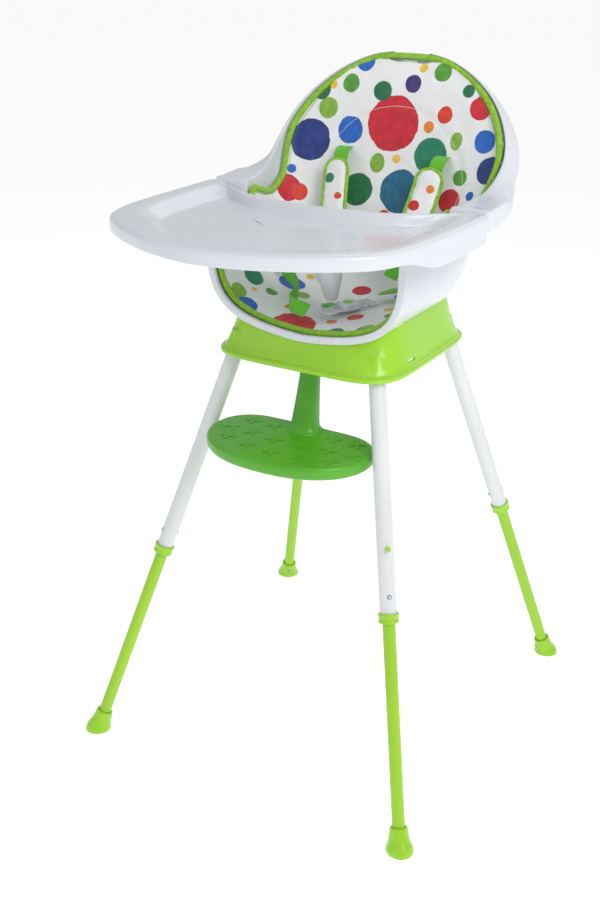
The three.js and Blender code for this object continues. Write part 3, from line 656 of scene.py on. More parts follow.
def rounded(profile, radius, steps=4):
    """A profile whose corners are rounded, as far as its sides allow."""
    points = [Vector(p) for p in profile]
    result = [tuple(points[0])]
    for a, b, c in zip(points, points[1:], points[2:]):
        before = a - b
        after = c - b
        reach = min(radius, before.length * 0.45, after.length * 0.45)
        start = b + before.normalized() * reach if before.length > 1e-9 else b
        end = b + after.normalized() * reach if after.length > 1e-9 else b
        for k in range(steps + 1):
            t = k / steps
            result.append(tuple((1 - t) ** 2 * start + 2 * t * (1 - t) * b + t * t * end))
    result.append(tuple(points[-1]))
    return result


def box_at(name, low, high, finish):
    x0, y0, z0 = low
    x1, y1, z1 = high
    corners = [(x, y, z) for x in (x0, x1) for y in (y0, y1) for z in (z0, z1)]
    faces = [(0, 1, 3, 2), (4, 6, 7, 5), (0, 4, 5, 1), (2, 3, 7, 6), (0, 2, 6, 4), (1, 5, 7, 3)]
    return make_object(name, [place(*p) for p in corners], faces, finish)


def spline(points, t, i, total, closed):
    """A point of a centripetal curve through tuples, t of the way along span i."""
    def pick(k):
        if closed:
            return Vector(points[k % total])
        if k < 0:
            return 2 * Vector(points[0]) - Vector(points[1])
        if k >= total:
            return 2 * Vector(points[-1]) - Vector(points[-2])
        return Vector(points[k])
    a, b, c, d = (pick(i + step) for step in (-1, 0, 1, 2))
    gaps = [max((q - p).length ** 0.5, 1e-4) for p, q in ((a, b), (b, c), (c, d))]
    out = ((b - a) / gaps[0] - (c - a) / (gaps[0] + gaps[1]) + (c - b) / gaps[1]) * gaps[1]
    into = ((c - b) / gaps[1] - (d - b) / (gaps[1] + gaps[2]) + (d - c) / gaps[2]) * gaps[1]
    return (b + out * t + (-3 * b + 3 * c - 2 * out - into) * t ** 2
            + (2 * b - 2 * c + out + into) * t ** 3)


def curve(points, count, closed=False):
    """Points along a smooth curve: count of them if it is closed, or one more if it is open."""
    total = len(points)
    spans = total if closed else total - 1
    result = []
    for k in range(count if closed else count + 1):
        along = k * spans / count
        i = min(int(along), spans - 1)
        result.append(spline(points, along - i, i, total, closed))
    return result


def even(points, count):
    """An open line of points, spaced evenly along its length."""
    lengths = [0.0]
    for p, q in zip(points, points[1:]):
        lengths.append(lengths[-1] + (Vector(q) - Vector(p)).length)
    result = []
    k = 0
    for step in range(count + 1):
        target = lengths[-1] * step / count
        while k < len(points) - 2 and lengths[k + 1] < target:
            k += 1
        share = (target - lengths[k]) / max(lengths[k + 1] - lengths[k], 1e-9)
        result.append(Vector(points[k]).lerp(Vector(points[k + 1]), min(share, 1.0)))
    return result


# ---------------------------------------------------------------- geometry nodes

class Growth:
    """A Geometry Nodes tree, with a single method for every node."""

    def __init__(self, name, **sizes):
        self.tree = bpy.data.node_groups.new(name, "GeometryNodeTree")
        self.tree.interface.new_socket("Geometry", in_out="INPUT", socket_type="NodeSocketGeometry")
        for size in sizes:
            socket = self.tree.interface.new_socket(size, in_out="INPUT", socket_type="NodeSocketFloat")
            socket.default_value = sizes[size]
        self.tree.interface.new_socket("Geometry", in_out="OUTPUT", socket_type="NodeSocketGeometry")
        self.entry = self.tree.nodes.new("NodeGroupInput")
        self.exit = self.tree.nodes.new("NodeGroupOutput")

    def given(self, name):
        return self.entry.outputs[name]

    def node(self, kind, options=None, inputs=None, output=0):
        made = self.tree.nodes.new(kind)
        for key, value in (options or {}).items():
            setattr(made, key, value)
        for key, value in (inputs or {}).items():
            socket = made.inputs[key]
            for one in (value if isinstance(value, list) else [value]):
                if isinstance(one, bpy.types.NodeSocket):
                    self.tree.links.new(one, socket)
                else:
                    socket.default_value = one
        return made.outputs[output]

    def math(self, operation, a, b=0.0):
        return self.node("ShaderNodeMath", {"operation": operation}, {0: a, 1: b})

    def size(self, x, y, z):
        return self.node("ShaderNodeCombineXYZ", None, {0: x, 1: y, 2: z})

    def finish(self, instances, finish, round_shading=True):
        real = self.node("GeometryNodeRealizeInstances", None, {0: instances})
        smooth = self.node("GeometryNodeSetShadeSmooth", None, {0: real, "Shade Smooth": round_shading})
        dressed = self.node("GeometryNodeSetMaterial", None, {0: smooth, "Material": material(finish)})
        self.tree.links.new(dressed, self.exit.inputs[0])
        return self.tree


def grow(piece, tree, **sizes):
    """Runs a tree on a piece with the given sizes and keeps the result as a plain mesh."""
    modifier = piece.modifiers.new("Growth", "NODES")
    modifier.node_group = tree
    for item in tree.interface.items_tree:
        if item.item_type == "SOCKET" and item.in_out == "INPUT" and item.name in sizes:
            modifier[item.identifier] = sizes[item.name]
    return apply_modifiers(piece)


def stitches(finish):
    """Stitches along a line: short rods that follow it, with gaps between."""
    growth = Growth("stitches_in_" + finish, pitch=0.0034, length=0.0024, thick=0.0005)
    line = growth.node("GeometryNodeMeshToCurve", None, {0: growth.given("Geometry")})
    spaced = growth.node("GeometryNodeResampleCurve", {"mode": "LENGTH"},
                         {"Curve": line, "Length": growth.given("pitch")})
    rod = growth.node("GeometryNodeMeshCylinder", None,
                      {"Vertices": 6, "Radius": growth.given("thick"), "Depth": growth.given("length")})
    along = growth.node("GeometryNodeInputTangent")
    turn = growth.node("FunctionNodeAlignRotationToVector", {"axis": "Z"}, {"Vector": along})
    placed = growth.node("GeometryNodeInstanceOnPoints", None,
                         {"Points": spaced, "Instance": rod, "Rotation": turn})
    return growth.finish(placed, finish)


def grip_marks():
    """Raised crosses on a plate: two crossed bars with eased tops at each given point."""
    growth = Growth("grip_marks", length=0.019, thick=0.0045, height=0.0011)
    length = growth.given("length")
    thick = growth.given("thick")
    height = growth.given("height")
    half = growth.math("MULTIPLY", height, 0.5)
    lower = growth.node("GeometryNodeMeshCube", None, {"Size": growth.size(length, thick, half)})
    inner = growth.math("SUBTRACT", length, growth.math("MULTIPLY", height, 1.2))
    narrow = growth.math("SUBTRACT", thick, growth.math("MULTIPLY", height, 1.2))
    upper = growth.node("GeometryNodeMeshCube", None, {"Size": growth.size(inner, narrow, height)})
    raised = growth.node("GeometryNodeTransform", None,
                         {"Geometry": upper, "Translation": growth.size(0.0, 0.0, half)})
    bar = growth.node("GeometryNodeJoinGeometry", None, {0: [lower, raised]})
    crossbar = growth.node("GeometryNodeTransform", None,
                           {"Geometry": bar, "Translation": (0.0, 0.0, -0.0001),
                            "Rotation": (0.0, 0.0, math.pi / 2)})
    both = growth.node("GeometryNodeJoinGeometry", None, {0: [bar, crossbar]})
    turn = growth.node("GeometryNodeInputNamedAttribute", {"data_type": "FLOAT"}, {"Name": "turn"})
    spin = growth.size(0.0, 0.0, turn)
    placed = growth.node("GeometryNodeInstanceOnPoints", None,
                         {"Points": growth.given("Geometry"), "Instance": both, "Rotation": spin})
    return growth.finish(placed, "green_plastic", round_shading=False)


TREES = {}


def tree(name, build, *inputs):
    key = (name, *inputs)
    if key not in TREES:
        TREES[key] = build(*inputs)
    return TREES[key]


def line_object(name, points, closed=False):
    mesh = bpy.data.meshes.new(name)
    edges = [(i, i + 1) for i in range(len(points) - 1)]
    if closed:
        edges.append((len(points) - 1, 0))
    mesh.from_pydata([tuple(p) for p in points], edges, [])
    made = bpy.data.objects.new(name, mesh)
    bpy.context.scene.collection.objects.link(made)
    return made


def sew(name, points, body, finish="thread", slot="liner_fabric", pitch=0.0034, closed=False, thick=0.00045):
    """A row of stitches along points, riding on a body."""
    row = line_object(name, points, closed)
    grow(row, tree("stitches", stitches, finish), pitch=pitch, length=pitch * 0.72, thick=thick)
    return give(row, body, slot)


def settle(piece, attribute, values):
    """Stores one vector for each vertex."""
    layer = piece.data.attributes.new(attribute, "FLOAT_VECTOR", "POINT")
    for item, value in zip(layer.data, values):
        item.vector = value


# ---------------------------------------------------------------- seat shell

# Planes across the seat, from its front edge over the seat and up the back, in millimetres:
# middle of the outer face (y, z), rim (y, z), half-width of the wall, half-width of the rolled
# lip, depth of the lip's skirt, and how much of the wall's height is bent.
STATIONS = (
    (-133, 677, -133, 850, 163, 166, 9, 0.65),
    (-126, 677, -126, 850, 163, 166, 9, 0.65),
    (-118, 677.5, -118, 850, 163, 176, 10, 0.65),
    (-80, 679.5, -88, 850, 164, 200, 12, 0.65),
    (-30, 682, -55, 850, 166, 205, 12, 0.62),
    (20, 685, -26, 850, 168, 208, 12, 0.6),
    (66, 689, -18, 850, 171, 212, 13, 0.6),
    (98, 700, -12.5, 872, 173, 228, 34, 0.62),
    (117, 720, 4, 873, 175, 229, 34, 0.66),
    (124, 746, 18, 874, 177, 229.5, 34, 0.7),
    (130, 776, 34, 875, 180, 229.5, 33, 0.74),
    (138, 814, 50, 877, 184, 229, 31, 0.8),
    (149, 846, 72, 882, 189, 222, 30, 0.86),
    (158, 872, 98, 897, 193, 213, 29, 0.92),
    (166, 900, 122, 919, 194, 208, 27, 1),
    (174, 930, 140, 944, 188, 200, 22, 1),
    (182, 960, 156, 971, 174, 183, 17, 1),
    (189, 988, 170, 997, 153, 159, 13, 1),
    (195, 1012, 181, 1019, 126, 130.5, 10, 1),
    (199, 1030, 188, 1036, 97, 100.5, 8, 1),
    (203, 1044, 194, 1049, 64, 67, 6, 1),
    (205, 1050, 197, 1055, 30, 32, 5, 1),
)
ROLL_FROM = 11                      # from this plane to the next but one, the lip comes to slant back
SHELL_WALL = 3.6
LINER_DROP = (6, 6, 6, 6, 6, 6, 6, 8, 20, 32, 38, 38, 33, 19, 9, 3.5)   # the liner's edge below the rim
LINER_FIRST, LINER_LAST = 2, 20     # the planes at the liner's front edge and top
LINER_LIFT = 5.0                    # the liner's back face, from the shell's outer face
SLOT_X, SLOT_Z = 85, 911            # shoulder strap slots


class Station:
    """One plane across the seat."""

    def __init__(self, where):
        share = where / (len(STATIONS) - 1)
        (self.base_y, self.base_z, self.rim_y, self.rim_z,
         self.wall, self.lip, self.skirt, self.bent) = catmull(STATIONS, share)
        self.where = where
        self.height = math.hypot(self.rim_y - self.base_y, self.rim_z - self.base_z)

    def at(self, x, t):
        share = t / self.height
        return place(x, self.base_y + (self.rim_y - self.base_y) * share,
                     self.base_z + (self.rim_z - self.base_z) * share)

    def profile(self, steps=20):
        """The right half of the outer face, as (x, height towards the rim)."""
        top = min(self.bent * self.height, self.height - SHELL_WALL - 0.5)
        points = []
        for k in range(steps + 1):
            s = k / steps
            b, c, d = 3 * s * (1 - s) ** 2, 3 * s * s * (1 - s), s ** 3
            x = self.wall * (0.69 * b + c + d)
            points.append((x, 0.04 * self.height * b + 0.25 * top * c + top * d))
        return points + [(self.wall, self.height)]

    def row(self, half):
        left = [self.at(-x, t) for x, t in reversed(half[1:])]
        return left + [self.at(x, t) for x, t in half]


def offset(profile, distance):
    """The profile moved along its inward normal."""
    result = []
    for i, (x, t) in enumerate(profile):
        x0, t0 = profile[max(i - 1, 0)]
        x1, t1 = profile[min(i + 1, len(profile) - 1)]
        length = math.hypot(x1 - x0, t1 - t0)
        nx, nt = ((t0 - t1) / length, (x1 - x0) / length) if i else (0.0, 1.0)
        result.append((x + nx * distance, t + nt * distance))
    return result


def walled(name, pairs, finish, smooth=math.radians(40)):
    """A closed wall between pairs of rows: (outer, inner) at each plane."""
    vertices = []
    faces = []
    count = len(pairs[0][0])
    ring = 2 * count
    for outer, inner in pairs:
        vertices += list(outer) + list(reversed(inner))
    for r in range(len(pairs) - 1):
        a = r * ring
        for i in range(ring):
            j = (i + 1) % ring
            faces.append((a + i, a + j, a + ring + j, a + ring + i))
    for start in (0, (len(pairs) - 1) * ring):
        for i in range(count - 1):
            faces.append((start + i, start + i + 1, start + ring - 2 - i, start + ring - 1 - i))
    return make_object(name, vertices, faces, finish, smooth)


def shell_rows(station, front_lip):
    height, wall, lip = station.height, station.wall, station.lip
    thick = front_lip if station.where <= 1 else SHELL_WALL
    if 1 < station.where < 2:
        thick = front_lip + (SHELL_WALL - front_lip) * (station.where - 1)
    skirt = min(station.skirt, height - 2)
    roll = min(max((station.where - ROLL_FROM) / 2, 0), 1)
    fall = roll * max(min(0.75 * skirt, skirt - 5), 0)
    outside = station.profile()
    inside = offset(outside, thick)
    turn = max(lip - SHELL_WALL, wall + 0.6)
    top = inside[-1][0]

    def crown(x, lift=0.0):
        return height + lift - fall * max((x - wall) / (lip - wall), 0) ** 1.2

    def under(x):
        return max(crown(x) - SHELL_WALL, height - skirt + 1.2)

    half_turn = wall + 0.5 * (turn - wall)
    outer = outside[:-1] + [(wall, under(wall) - 0.4), (half_turn, under(half_turn)),
                            (turn - 0.3, under(turn - 0.3)), (turn, under(turn) - 0.6),
                            (turn, height - skirt + 0.5), (turn + 0.5, height - skirt),
                            (lip - 0.5, height - skirt), (lip, height - skirt + 0.8), (lip, height - 3 - fall)]
    wide = lip - top
    inner = inside[:-1] + [(top, height - 5), (top + 0.3, height - 1.6), (top + 1.6, height)]
    inner += [(top + share * wide, crown(top + share * wide, lift))
              for share, lift in ((0.25, 0.8), (0.5, 1.1), (0.75, 0.8))]
    inner += [(lip - 2.4, crown(lip - 2.4)), (lip - 1.2, crown(lip - 1.2, -0.5))]
    while len(inner) < len(outer):
        inner.insert(-1, tuple((a + b) / 2 for a, b in zip(inner[-2], inner[-1])))
    return station.row(outer), station.row(inner)


def box_cutter(low, high):
    return box_at("cutter", low, high, "white_plastic")


class BuildShell(bpy.types.Operator):
    """Moulds the seat shell, with its rolled lip, wings and strap slots"""
    bl_idname = "high_chair.shell"
    bl_label = "Seat shell"

    def execute(self, context):
        own = context.scene.chair_shell
        spans = len(STATIONS) - 1
        stations = [Station(k / 3) for k in range(3 * spans + 1)]
        shell = walled("shell", [shell_rows(s, own.front_lip / MM) for s in stations], "white_plastic")
        apply_modifiers(subdivide(shell, 2))
        slots = [box_cutter((side * SLOT_X - 16, 130, SLOT_Z - 3.5), (side * SLOT_X + 16, 190, SLOT_Z + 3.5))
                 for side, _ in SIDES]
        cut(shell, slots)
        give(shell, "frame", "white_plastic", "seat_shell")
        return {"FINISHED"}


# ---------------------------------------------------------------- liner

class Cloth:
    """The liner's two faces before it swells, and how its print lies on them."""

    def __init__(self, thickness, per_span=3, half=34):
        self.thickness = thickness / MM
        self.half = half
        count = (LINER_LAST - LINER_FIRST) * per_span
        self.stations = [Station(LINER_FIRST + k / per_span) for k in range(count + 1)]
        self.front = [self.face(s, LINER_LIFT + self.thick(s)) for s in self.stations]
        self.back = [self.face(s, LINER_LIFT) for s in self.stations]

    def thick(self, station):
        return self.thickness * min(max(station.wall / 110, 0.6), 1)

    def drop(self, where):
        first = min(int(where), len(LINER_DROP) - 2)
        share = min(where - first, 1.0)
        return LINER_DROP[first] * (1 - share) + LINER_DROP[first + 1] * share

    def face(self, station, lift):
        profile = offset(station.profile(28), lift)[:-1]
        edge = station.height - self.drop(station.where)
        if station.where >= len(LINER_DROP) - 1 or edge > profile[-1][1] + 1:
            profile.append((station.wall - lift, max(edge, profile[-1][1] + 1)))
        else:
            (x0, t0), (x1, t1) = [(a, b) for a, b in zip(profile, profile[1:]) if a[1] < edge - 1][-1]
            profile = [p for p in profile if p[1] < edge - 1]
            profile.append((x0 + (x1 - x0) * (edge - t0) / (t1 - t0), edge))
        return station.row([tuple(p) for p in even(profile, self.half)])

    def object(self, name, finish):
        return walled(name, list(zip(self.back, self.front)), finish, smooth=0)

    def front_tree(self):
        if not hasattr(self, "tree"):
            vertices = [p for row in self.front for p in row]
            wide = len(self.front[0])
            faces = [(r * wide + i, r * wide + i + 1, (r + 1) * wide + i + 1, (r + 1) * wide + i)
                     for r in range(len(self.front) - 1) for i in range(wide - 1)]
            self.tree = BVHTree.FromPolygons(vertices, faces)
        return self.tree

    def on_back(self, x, z):
        """The point of the front face at x and z, in millimetres, seen from the front."""
        start = place(x, -250, z)
        hit = self.front_tree().ray_cast(start, Vector((0, 1, 0)))[0]
        return hit or self.front_tree().find_nearest(place(x, 100, z))[0]

    def on_seat(self, x, y):
        """The point of the front face at x and y, seen from above."""
        hit = self.front_tree().ray_cast(place(x, y, 845), Vector((0, 0, -1)))[0]
        return hit or self.front_tree().find_nearest(place(x, y, 700))[0]

    def rim(self):
        """The closed line round the liner's edge."""
        middle = [[b.lerp(f, 1.0) for b, f in zip(back, front)] for back, front in zip(self.back, self.front)]
        left = [row[0] for row in middle]
        right = [row[-1] for row in middle]
        return left + middle[-1][1:-1] + list(reversed(right)) + list(reversed(middle[0][1:-1]))

    def lie(self):
        """A search tree of points on both faces, with (across, along, front) for each."""
        entries = []
        along = 0.0
        middle = self.half
        for k, (front, back) in enumerate(zip(self.front, self.back)):
            if k:
                along += (front[middle] - self.front[k - 1][middle]).length
            for row, side in ((front, 1.0), (back, 0.0)):
                reach = [0.0]
                for p, q in zip(row, row[1:]):
                    reach.append(reach[-1] + (q - p).length)
                for p, distance in zip(row, reach):
                    entries.append((p, (distance - reach[middle], along, side)))
        search = KDTree(len(entries))
        for k, (p, _) in enumerate(entries):
            search.insert(p, k)
        search.balance()
        return search, [value for _, value in entries]


def smooth_line(points, rounds, closed=True):
    for _ in range(rounds):
        count = len(points)
        fresh = []
        for i, p in enumerate(points):
            if closed or 0 < i < count - 1:
                p = p * 0.5 + (points[i - 1] + points[(i + 1) % count]) * 0.25
            fresh.append(p)
        points = fresh
    return points


def swell(piece, voxel, pressure, limit, frames=20):
    """Remeshes a closed pad and blows it up as cloth, each point moving at most limit(its place)."""
    grid = piece.modifiers.new("Grid", "REMESH")
    grid.mode = "VOXEL"
    grid.voxel_size = voxel
    apply_modifiers(piece)
    rest = [v.co.copy() for v in piece.data.vertices]
    caps = [limit(p) for p in rest]
    moved = blown(piece, pressure, frames)
    for vertex, before, after, cap in zip(piece.data.vertices, rest, moved, caps):
        move = after - before
        if move.length > cap:
            move = move.normalized() * cap
        vertex.co = before + move
    piece.data.update()
    return piece


def blown(piece, pressure, frames):
    cloth = piece.modifiers.new("Swell", "CLOTH")
    own = cloth.settings
    own.quality = 4
    own.mass = 0.15
    own.tension_stiffness = 12
    own.compression_stiffness = 8
    own.shear_stiffness = 4
    own.bending_stiffness = 0.4
    own.use_pressure = True
    own.uniform_pressure_force = pressure
    own.effector_weights.gravity = 0
    cloth.collision_settings.use_collision = False
    cloth.point_cache.frame_start = 1
    cloth.point_cache.frame_end = frames
    scene = bpy.context.scene
    for frame_number in range(1, frames + 1):
        scene.frame_set(frame_number)
    graph = bpy.context.evaluated_depsgraph_get()
    result = piece.evaluated_get(graph)
    moved = [v.co.copy() for v in result.data.vertices]
    piece.modifiers.remove(cloth)
    scene.frame_set(1)
    return moved


def tube_round(name, points, sides, half_side, half_face, finish, closed=True, count=14):
    """A tube of oval section along points; sides gives the direction of its wide axis at each."""
    total = len(points)
    rings = []
    lie = []
    along = 0.0
    for i, p in enumerate(points):
        before = points[i - 1] if closed or i else points[0]
        after = points[(i + 1) % total] if closed or i < total - 1 else points[-1]
        tangent = (after - before).normalized()
        if i:
            along += (p - points[i - 1]).length
        wide = (sides[i] - tangent * sides[i].dot(tangent)).normalized()
        normal = tangent.cross(wide)
        ring = []
        for k in range(count):
            angle = 2 * math.pi * k / count
            ring.append(p + wide * math.cos(angle) * half_side + normal * math.sin(angle) * half_face)
            lie.append((math.cos(angle) * half_side, along, 0.0))
        rings.append(ring)
    vertices = [p for ring in rings for p in ring]
    faces = []
    last = total if closed else total - 1
    for r in range(last):
        a = r * count
        b = ((r + 1) % total) * count
        for k in range(count):
            m = (k + 1) % count
            faces.append((a + k, a + m, b + m, b + k))
    if not closed:
        faces.append(tuple(range(count)))
        faces.append(tuple(reversed(range((total - 1) * count, total * count))))
    made = make_object(name, vertices, faces, finish, smooth=0)
    if len(made.data.vertices) == len(lie):
        settle(made, "lie", lie)
    return made


class Quilting:
    """Where the liner is sewn down, and how far a point of it is from a seam and from the edge."""

    def __init__(self, cloth):
        self.cloth = cloth
        self.search, self.lies = cloth.lie()
        self.rim = self.tree_of(cloth.rim())
        arch = [cloth.on_back(x, z) for x, z in ARCH]
        seat_channel = [cloth.on_seat(x, y) for x, y in SEAT_SEAM]
        self.seams = self.tree_of(curve(arch, 160) + curve(seat_channel, 90))

    def tree_of(self, points):
        search = KDTree(len(points))
        for k, p in enumerate(points):
            search.insert(p, k)
        search.balance()
        arcs = [0.0]
        for p, q in zip(points, points[1:]):
            arcs.append(arcs[-1] + (q - p).length)
        return search, arcs

    def shape(self, p):
        """How far the cloth at p stands out from its swollen face, in metres."""
        _, k, d_edge = self.rim[0].find(p)
        edge_arc = self.rim[1][k]
        _, m, d_seam = self.seams[0].find(p)
        seam_arc = self.seams[1][m]
        gather = noise.noise(Vector((edge_arc / 0.019, 3.1, d_edge / 0.09)))
        fold = noise.noise(Vector((edge_arc / 0.043, 8.7, d_edge / 0.14)))
        pucker = noise.noise(Vector((seam_arc / 0.0075, 1.7, d_seam / 0.02)))
        crumple = noise.noise(p / 0.032) * 0.6 + noise.noise(p / 0.013 + Vector((4, 7, 2))) * 0.22
        channel = math.exp(-(d_seam / 0.0032) ** 2)
        roll = math.exp(-((d_seam - 0.011) / 0.008) ** 2)
        near_edge = 1.5 * gather * math.exp(-d_edge / 0.026) + 1.7 * fold * math.exp(-d_edge / 0.07)
        near_seam = 0.9 * roll + 0.8 * pucker * math.exp(-d_seam / 0.012) - 2.6 * channel
        return MM * smoothstep(0.003, 0.012, d_edge) * (near_edge + near_seam + crumple)


# Seams of the liner in millimetres: an arch on the back as (x, z), a channel across the seat as (x, y).
ARCH = ((-122, 842), (-126, 875), (-112, 908), (-88, 940), (-50, 966), (0, 976), (50, 966), (88, 940),
        (112, 908), (126, 875), (122, 842))
SEAT_SEAM = ((-112, -36), (-60, -30), (0, -28), (60, -30), (112, -36))
RIM_POINTS = 420                    # points along the piping
TOP_FROM, TOP_FULL = 1.0, 1.035     # heights over which the piping comes to its rounder top, in metres
TOP_LIFT, TOP_REACH = 1.5 * MM, 0.09    # how far the top is raised, and over what half-width


class BuildLiner(bpy.types.Operator):
    """Sews the padded liner with its print, seams and piping"""
    bl_idname = "high_chair.liner"
    bl_label = "Liner"

    def execute(self, context):
        own = context.scene.chair_liner
        cloth = Cloth(own.thickness)
        liner = cloth.object("liner", "liner_cloth")
        quilting = Quilting(cloth)

        def limit(p):
            _, k, _ = quilting.search.find(p)
            _, _, from_edge = quilting.rim[0].find(p)
            full = 0.0005 + 0.0037 * smoothstep(0.0, 0.03, from_edge)
            return full if quilting.lies[k][2] > 0.5 else 0.0005

        swell(liner, own.voxel, own.pressure, limit)
        apply_modifiers(subdivide(liner, 1))
        lies = []
        moved = []
        for vertex in liner.data.vertices:
            _, k, _ = quilting.search.find(vertex.co)
            lies.append(quilting.lies[k])
            reach = quilting.shape(vertex.co) if quilting.lies[k][2] > 0.5 else 0.0
            moved.append(vertex.co + vertex.normal * reach)
        for vertex, p in zip(liner.data.vertices, moved):
            vertex.co = p
        settle(liner, "lie", lies)
        liner.data.shade_smooth()
        liner.data.update()
        give(liner, "frame", "liner_fabric", "seat_liner")
        self.bind(cloth, liner, own)
        return {"FINISHED"}

    def bind(self, cloth, liner, own):
        """The piping round the edge, its stitches and the seams' stitches, laid on the swollen cloth."""
        surface = BVHTree.FromObject(liner, bpy.context.evaluated_depsgraph_get())
        rim = smooth_line(even(cloth.rim() + [cloth.rim()[0]], RIM_POINTS)[:-1], 9)
        round_top = smooth_line(rim, 70)
        rim = [p.lerp(q, smoothstep(TOP_FROM, TOP_FULL, p.z)) for p, q in zip(rim, round_top)]
        rim = [p + Vector((0, 0, TOP_LIFT * smoothstep(TOP_REACH, 0.0, abs(p.x)) * (p.z > TOP_FROM)))
               for p in rim]
        normals = [surface.find_nearest(p)[1] for p in rim]
        sides = []
        for i, p in enumerate(rim):
            tangent = (rim[(i + 1) % len(rim)] - rim[i - 1]).normalized()
            sides.append(tangent.cross(normals[i]))
        sides = smooth_line(sides, 6)
        piping = tube_round("liner_piping", rim, sides, own.piping_radius * 1.15, own.piping_radius,
                            "piping_cloth")
        for vertex in piping.data.vertices:
            vertex.co += vertex.normal * noise.noise(vertex.co / 0.006) * 0.00025
        give(piping, "frame", "liner_fabric")
        inner = []
        middle = Vector((0.0, place(0, 40, 0).y, 0.88))
        for p, side in zip(rim, sides):
            inward = side if side.dot(middle - p) > 0 else -side
            inner.append(self.lay(surface, p + inward.normalized() * (own.piping_radius * 1.9), 0.0004))
        sew("liner_edge_stitches", smooth_line(inner, 2), "frame", closed=True, finish="lime_thread")
        for name, line in (("arch", [cloth.on_back(x, z) for x, z in ARCH]),
                           ("seat", [cloth.on_seat(x, y) for x, y in SEAT_SEAM])):
            laid = [self.lay(surface, p, 0.0002) for p in curve(line, 180)]
            sew(name + "_seam_stitches", laid, "frame")

    def lay(self, surface, p, lift):
        spot, normal, _, _ = surface.find_nearest(p)
        return spot + normal * lift


# ---------------------------------------------------------------- tray

# Half of the tray's edge and of its recess, from the middle of the front to the middle of the rear.
TRAY_EDGE = ((0, -400), (75, -385), (120, -365), (162, -340), (203, -304), (222, -256), (229.5, -187),
             (231.5, -117), (232, -50), (230, -19), (219, -16), (200, -30), (165, -57), (122, -81), (60, -95),
             (0, -98))
TRAY_RECESS = ((0, -334), (55, -322), (95, -304), (130, -277), (158, -238), (171, -195), (174, -150),
               (175, -105), (172, -78), (162, -70), (150, -78), (135, -90), (110, -105), (80, -115),
               (40, -121), (0, -123))
TRAY_TOP, TRAY_FLOOR, TRAY_WALL = 872, 856, 3
POST = ((4, 3.5, 718), (8, 7, 719.5), (10.5, 9, 724), (14, 11.5, 738), (19, 14, 757), (24, 16, 790),
        (28, 18, 851))


def mirrored(half):
    return tuple(half) + tuple((-x, y) for x, y in reversed(half[1:-1]))


